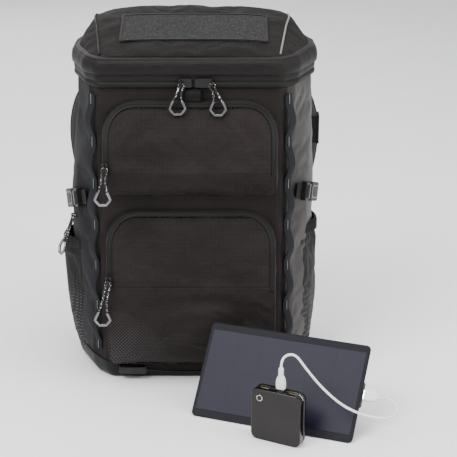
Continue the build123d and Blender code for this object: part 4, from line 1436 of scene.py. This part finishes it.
# ------------------------------------------------------------------ zip pulls and the cable
def make_cords():
    """The cable with its plugs, and the five pull cords with their bent steel tubes."""
    cable = nurbs_cord("cable_line", cable_route, CABLE_D, M["white"])
    plugs = make_plugs()
    place(cable, "cable", "cable_cord", slot="cable_white")
    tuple(cable_route[0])
    for key, spot, outward, shift, drop, tilt in PULLS:
        outward = Vector(outward).normalized()
        across = Vector((0, 0, 1)).cross(outward)
        up = Vector((0, 0, cos(radians(tilt)))) - outward * sin(radians(tilt))
        base = Vector(spot) + outward * PULL_LIFT
        gather = max(-0.55 * drop, -drop + 11)
        legs = [(shift - 6.4, -drop - 0.5), (shift - 5.0, -drop + 3.5), (shift * 0.55 - 2.4, gather),
                (-3.2, -4.5), (-3.0, 0), (3.0, 0), (3.2, -4.5), (shift * 0.55 + 2.4, gather),
                (shift + 5.0, -drop + 3.5), (shift + 6.4, -drop - 0.5)]
        points = [tuple((base + across * a + up * b) * MM) for a, b in legs]
        cord = nurbs_cord(f"pull_line_{key}", points, PULL_CORD_D, M["flecked"])
        place(cord, f"zip_pull_{key}", f"pull_cord_{key}", slot="pull_cord")
        half = [(5.6, 1.6), (8.0, -3), (10.2, -8.6), (7.4, -12.4), (4.2, -16)]
        bent = [(-a, b) for a, b in half] + [(0, -16)] + half[::-1]
        line = [base + across * (shift + a) + up * (b - drop) for a, b in bent]
        lean = across.cross(up)
        tube = sweep(f"tube_{key}", line, [lean] * len(line), round_profile(2.15, 6), M["gunmetal"])
        for face in tube.data.polygons:
            face.use_smooth = False
        soft = tube.modifiers.new("edges", "BEVEL")
        soft.width, soft.segments = 0.0004, 2
        tube = join(f"pull_hexagon_{key}", [tube])
        place(tube, f"zip_pull_{key}", f"pull_tube_{key}", slot="pull_steel")


def lathe(name, origin, axis, sections, material, side, power):
    """A body of rounded-rectangle sections along an axis: sections are (distance, half a, half b)."""
    sides = 32
    axis = Vector(axis).normalized()
    side = Vector(side).normalized()
    other = axis.cross(side).normalized()
    verts = []
    for distance, half_a, half_b in sections:
        for k in range(sides):
            angle = 2 * pi * (k + 0.5) / sides
            a = half_a * plump(cos(angle), 2 / power)
            b = half_b * plump(sin(angle), 2 / power)
            verts.append(Vector(origin) + axis * distance + side * a + other * b)
    obj = add_object(name, verts, ring_faces(len(sections), sides), material)
    tidy_normals(obj)
    return obj


def make_plugs():
    """The cable's two moulded grips: a flat body, then a ribbed neck that thins to the cord."""
    up = Vector((0, 0, 1))
    micro = micro_base / MM
    sections = [(1.5, 5.6, 3.6), (2.3, 6.1, 4.0), (12.0, 6.1, 4.0), (16.0, 5.4, 3.7), (19.0, 3.6, 3.2)]
    d = 19.8
    for k in range(4):
        sections += [(d, 3.1, 3.1), (d + 1.5, 3.0, 3.0), (d + 1.7, 2.3, 2.3), (d + 2.5, 2.3, 2.3)]
        d += 2.7
    sections += [(31.2, 2.3, 2.3), (31.5, 1.7, 1.7)]
    grip = lathe("micro_grip", micro, up, sections, M["white"], bank_across, 4.5)
    sections = [(2.5, 7.2, 3.6), (3.3, 7.75, 4.0), (13.0, 7.75, 4.0), (16.5, 7.0, 3.8), (18.5, 4.2, 3.3)]
    d = 19.0
    for k in range(3):
        sections += [(d, 3.1, 3.1), (d + 1.4, 3.0, 3.0), (d + 1.6, 2.3, 2.3), (d + 2.3, 2.3, 2.3)]
        d += 2.4
    sections += [(26.2, 2.3, 2.3), (26.5, 1.7, 1.7)]
    wide = lathe("usb_grip", socket_center / MM, panel_across, sections, M["white"], panel_up, 4.5)
    for obj in (grip, wide):
        soften = obj.modifiers.new("subdivide", "SUBSURF")
        soften.levels = soften.render_levels = 1
    body = join("cable_grips", [grip, wide])
    place(body, "cable", "plug_overmolds", slot="cable_white")
    dress("plug_shells", M["chrome"], 0.2)
    return [body, nodes["plug_shells"]]


PULL_LIFT = 5.6
PULL_CORD_D = 0.0025
SIDE_OUT = Vector((-FLANK_RUN[1], -FLANK_RUN[0], 0)).normalized()
SIDE_ZIP = Vector((-165 + 18 * FLANK_RUN[0] / FLANK_RUN[1], -30, 217.5)) + SIDE_OUT * 1.6
# Name, place of the slider's back, outward direction, shift and drop of the pull, and its lean off
# the cloth.
PULLS = [
    ("main_left", (-11, -100.3, 421), (0, -1, 0), -5, 24, 8),
    ("main_right", (29, -100.3, 421), (0, -1, 0), 7.5, 25, 8),
    ("upper_pocket", (-110.5, -130.6, 316), (0, -1, 0), -3, 34, 0),
    ("lower_pocket", (-110, -130.9, 159), (0, -1, 0), -8, 46, 0),
    ("side_pocket", tuple(SIDE_ZIP), tuple(SIDE_OUT), 0, 40, 22),
]


def flecked_cord(name):
    """Braided black cord with light flecks."""
    s = Shader(name)
    axes = dict(zip("XYZ", s.axes()))
    fleck = s.noise(430.0, 1.0, 0.5)
    weave = s.math("MULTIPLY", s.bands(s.math("ADD", axes["X"], axes["Z"]), 0.0012),
                   s.bands(s.math("SUBTRACT", axes["X"], axes["Z"]), 0.0012))
    tone = s.mix(s.math("GREATER_THAN", fleck, 0.6), (0.005, 0.005, 0.0055), (0.5, 0.5, 0.5))
    return s.finish(tone, 0.7, s.bump(weave, 0.6, 0.0004), sheen=0.2)


M["flecked"] = flecked_cord("flecked_cord")


# ------------------------------------------------------------------ solar panel and power bank
def panel_point(a, b, out):
    """A place on the panel: a across it, b up it, out in front of its face."""
    return panel_corner / MM + panel_across * a + panel_up * b + panel_front * out


def panel_slab(name, outline, low, high, material, bevel):
    return slab(name, outline, low, high, panel_corner / MM, panel_across, panel_up, panel_front,
                material, bevel)


def rounded_corners(width, height, corner, inset, steps):
    """A rectangle with round corners, as points inset from its edge."""
    points = []
    reach = corner - inset
    for cx, cy, start in ((width - corner, height - corner, 0), (corner, height - corner, 90),
                          (corner, corner, 180), (width - corner, corner, 270)):
        for k in range(steps + 1):
            angle = radians(start + 90 * k / steps)
            points.append((cx + reach * cos(angle), cy + reach * sin(angle)))
    return points


def make_panel():
    """The board in its woven border, and the cells under film."""
    width, height, thick = PANEL_SIZE
    outline = rounded_corners(width, height, 6.0, 0.0, 6)
    board = panel_slab("panel_board", outline, -thick + 0.1, 0.0, M["border"], 0.5)
    edge = [panel_point(a, b, -1.1) for a, b in outline]
    middle = panel_point(width / 2, height / 2, -1.1)
    rim = sweep("panel_rim", edge, [(p - middle).normalized() for p in edge],
                [(-1.15, -0.9), (-1.15, -0.15), (0, 0.2), (1.15, -0.15), (1.15, -0.9)], M["rubber"],
                closed=True)
    place(join("folding_panel_board", [board, rim]), "solar_panel", "solar_board", slot="panel_board")
    dress_cells()


def dress_cells():
    """One laminated film over the twelve cells, with hair-fine gaps."""
    cell_width, cell_height = 32.6, 53.5
    cells = [panel_slab("film", [(4.5, 9.6), (215.5, 9.6), (215.5, 118.4), (4.5, 118.4)], 0.05, 0.34,
                        M["cells"], 0.25)]
    for column in range(6):
        for row in range(2):
            a0 = 110 + (column - 2.5) * 33.6 - cell_width / 2
            b0 = 64 + (row - 0.5) * 54.5 - cell_height / 2
            a1, b1 = a0 + cell_width, b0 + cell_height
            cells.append(panel_slab("cell", [(a0, b0), (a1, b0), (a1, b1), (a0, b1)], 0.3, 0.42,
                                    M["cells"], 0.06))
    place(join("cell_array", cells), "solar_panel", "solar_cells", slot="solar_cell")


def bank_point(a, b, z):
    """A place on the bank: a across its face, b behind the face, z up."""
    return bank_corner / MM + bank_across * a + bank_back * b + Vector((0, 0, z))


def bank_skin(name, steps, material, caps=(True, False)):
    """Rings of the bank's outline at (depth, inset) steps."""
    rings = [rounded_corners(*BANK_SIZE, BANK_CORNER, inset, 8) for _, inset in steps]
    verts = [bank_point(a, depth, z) for (depth, _), ring in zip(steps, rings) for a, z in ring]
    obj = add_object(name, verts, ring_faces(len(steps), len(rings[0]), caps), material)
    tidy_normals(obj)
    for face in obj.data.polygons:
        if len(face.vertices) > 4:
            face.use_smooth = False
    return obj


def make_bank():
    """Matt face plate, gloss band with two chrome lines, dark ports and a ringed button; the chrome arc on
    the top right corner is a painted highlight.
    """
    face = bank_skin("bank_face", [(0.0, 2.2), (0.25, 1.3), (0.9, 0.9)], M["bank_face"])
    trim = bank_skin("bank_trim", [(0.9, 0.9), (0.95, 0.3), (1.9, 0.05), (2.3, 0.05)],
                     M["bank_gloss"], (False, False))
    front = bank_skin("bank_band", [(2.3, 0.05), (2.5, 0.45), (3.6, 0.2), (10.4, 0.0), (10.5, 0.5)],
                      M["bank_gloss"], (False, True))
    parts = [face, trim, front]
    center = bank_point(12.5, 0, 58)
    ring = []
    for k in range(40):
        angle = 2 * pi * k / 40
        radial = bank_across * cos(angle) + Vector((0, 0, sin(angle)))
        ring.append(center + radial * 3.5 - bank_back * 0.05)
    parts.append(sweep("button_ring", ring, [-bank_back] * len(ring),
                       [(-0.6, -0.3), (-0.5, 0.12), (0.5, 0.12), (0.6, -0.3)], M["chrome"],
                       closed=True))
    # A chrome arc round the top right corner: a painted highlight where the gloss case catches the light.
    turns = [radians(15 + 6 * k) for k in range(11)]
    highlight_arc = [bank_point(60 + 9.1 * sin(t), 10.0, 61 + 9.1 * cos(t)) for t in turns]
    outwards = [(p - bank_point(60, 10.0, 61)).normalized() for p in highlight_arc]
    parts.append(sweep("bank_painted_highlight", highlight_arc, outwards, tape_profile(3.2, 0.25, 0.1), M["chrome"]))
    place(join("bank_front_shell", parts), "power_bank", "bank_case_front", slot="bank_plastic")

    rear = bank_skin("bank_rear", [(20.9, 3.0), (20.3, 1.6), (18.8, 0.5), (16, 0.0), (10.6, 0.0),
                                   (10.55, 0.5)], M["bank_gloss"], (True, True))
    seam = bank_skin("bank_seam", [(10.3, 0.3), (10.5, 0.28), (10.7, 0.3)], M["port_dark"], (False, False))
    parts = [rear, seam]
    up = Vector((0, 0, 1))
    for a, half_a, half_b in ((15.5, 6.6, 2.9), (55.5, 6.6, 2.9), (37.2, 4.2, 1.9)):
        origin = bank_point(a, 10.5, 69.2)
        parts.append(lathe("port_rim", origin, up, [(0, half_a, half_b), (0.86, half_a, half_b),
                                                    (0.9, half_a - 0.45, half_b - 0.45),
                                                    (0.3, half_a - 0.5, half_b - 0.5)],
                           M["port_metal"], bank_across, 6))
        parts.append(lathe("port_well", origin, up, [(0.5, half_a - 0.5, half_b - 0.5),
                                                     (0.72, half_a - 0.52, half_b - 0.52)],
                           M["port_dark"], bank_across, 6))
    place(join("bank_rear_shell", parts), "power_bank", "bank_case_rear", slot="bank_plastic")
    dress("bank_cells", M["pouch"], 0.6)
    dress("bank_circuit_board", M["board"])
    dress("bank_button", M["button_dark"], 0.4)


# ------------------------------------------------------------------ port, harness hardware and the rest
def make_port():
    """The pass-through port's rubber frame and its flap keep their CAD shape."""
    dress("usb_port_housing", M["rubber"], 0.7)
    dress("usb_port_flap", M["rubber"], 0.9)


def make_harness():
    """Lower strap webbing with its tail, and the sternum strap."""
    parts = []
    lower = ((126, 96.5, 54), (124, 103, 60), (121, 112, 75), (120, 117.4, 95), (120, 117.6, 112),
             (120, 117.6, 122))
    tail = ((120, 119.2, 132), (120, 121.6, 112), (121, 120.8, 84), (123, 116.0, 62))
    sternum = [(x, 124.4 + 0.6 * sin(x / 18.0), 300) for x in range(18, 119, 4)]
    for side in (-1, 1):
        outward = Vector((side * 0.15, 0.95, 0.1)).normalized()
        for label, route, steps, normal, width, thickness in (
                ("lower_tape", lower, 5, outward, 20.0, 1.5), ("lower_tail", tail, 6, BACKWARDS, 19.0, 1.2),
                ("sternum_tape", sternum, 0, BACKWARDS, 20.0, 1.3)):
            path = [Vector((side * x, y, z)) for x, y, z in route]
            path = refine(path, steps) if steps else path
            parts.append(sweep(label, path, [normal] * len(path), tape_profile(width, thickness),
                               M["strap"]))
    place(join("harness_tapes", parts), "pack", "harness_webbing", slot="webbing")
    dress("strap_hardware", M["buckle"], 0.5)
    dress("sternum_buckle_plug", M["buckle"], 0.5)


def make_sliders():
    """Enamelled sliders keep their CAD shape."""
    for key, *_ in PULLS:
        dress(f"slider_{key}", M["enamel"], 0.5)


# ------------------------------------------------------------------ stage and light
# Name, place, size in metres and power in watts.
LAMPS = [("key", (-1.3, -1.5, 2.4), 1.4, 88.0), ("fill", (1.9, -1.2, 1.3), 1.6, 44.0),
         ("top", (0.2, -0.1, 2.6), 1.8, 50.0), ("rear", (-0.8, 2.2, 1.4), 1.8, 16.0)]
LAMP_TARGET = (0, 0, 0.22)


def make_stage():
    """A plain pale sweep of floor, a soft world and four broad lamps."""
    width = 6000
    floor = grid("floor", 2, 2, lambda u, v: Vector((width * (v - 0.5), width * (u - 0.5), -0.05)),
                 M["floor"])
    world = bpy.data.worlds.new("world")
    scene.world = world
    world.use_nodes = True
    world.node_tree.nodes["Background"].inputs["Color"].default_value = (1.0, 1.0, 1.0, 1.0)
    world.node_tree.nodes["Background"].inputs["Strength"].default_value = 0.72
    for name, spot, size, power in LAMPS:
        data = bpy.data.lights.new(name, "AREA")
        data.shape, data.size, data.energy = "SQUARE", size, power
        lamp = bpy.data.objects.new(name, data)
        lamp.location = spot
        aim = Vector(LAMP_TARGET) - Vector(spot)
        lamp.rotation_euler = aim.to_track_quat("-Z", "Y").to_euler()
        scene.collection.objects.link(lamp)


def floor_paint(name):
    """Matt pale paper with the faintest mottling."""
    s = Shader(name)
    tone = s.mix(s.ramp(s.noise(6.0), 0.3, 0.7), (0.88, 0.88, 0.88), (0.91, 0.91, 0.91))
    return s.finish(tone, 0.8, s.bump(s.noise(400.0), 0.04, 0.0005))


M["floor"] = floor_paint("floor_paper")

# ------------------------------------------------------------------ making, cords first
make_cords()
make_boot()
make_walls()
make_mouth()
make_lid()
make_pockets()
make_side_pockets()
make_ladders()
make_loops()
make_compression()
make_buckles()
for side in (-1, 1):
    make_strap(side)
make_pads()
make_harness()
make_handle()
make_sleeve()
make_port()
make_panel()
dress("solar_junction_box", M["rubber"], 0.8)
make_bank()
make_sliders()
make_stage()

bpy.context.view_layer.update()
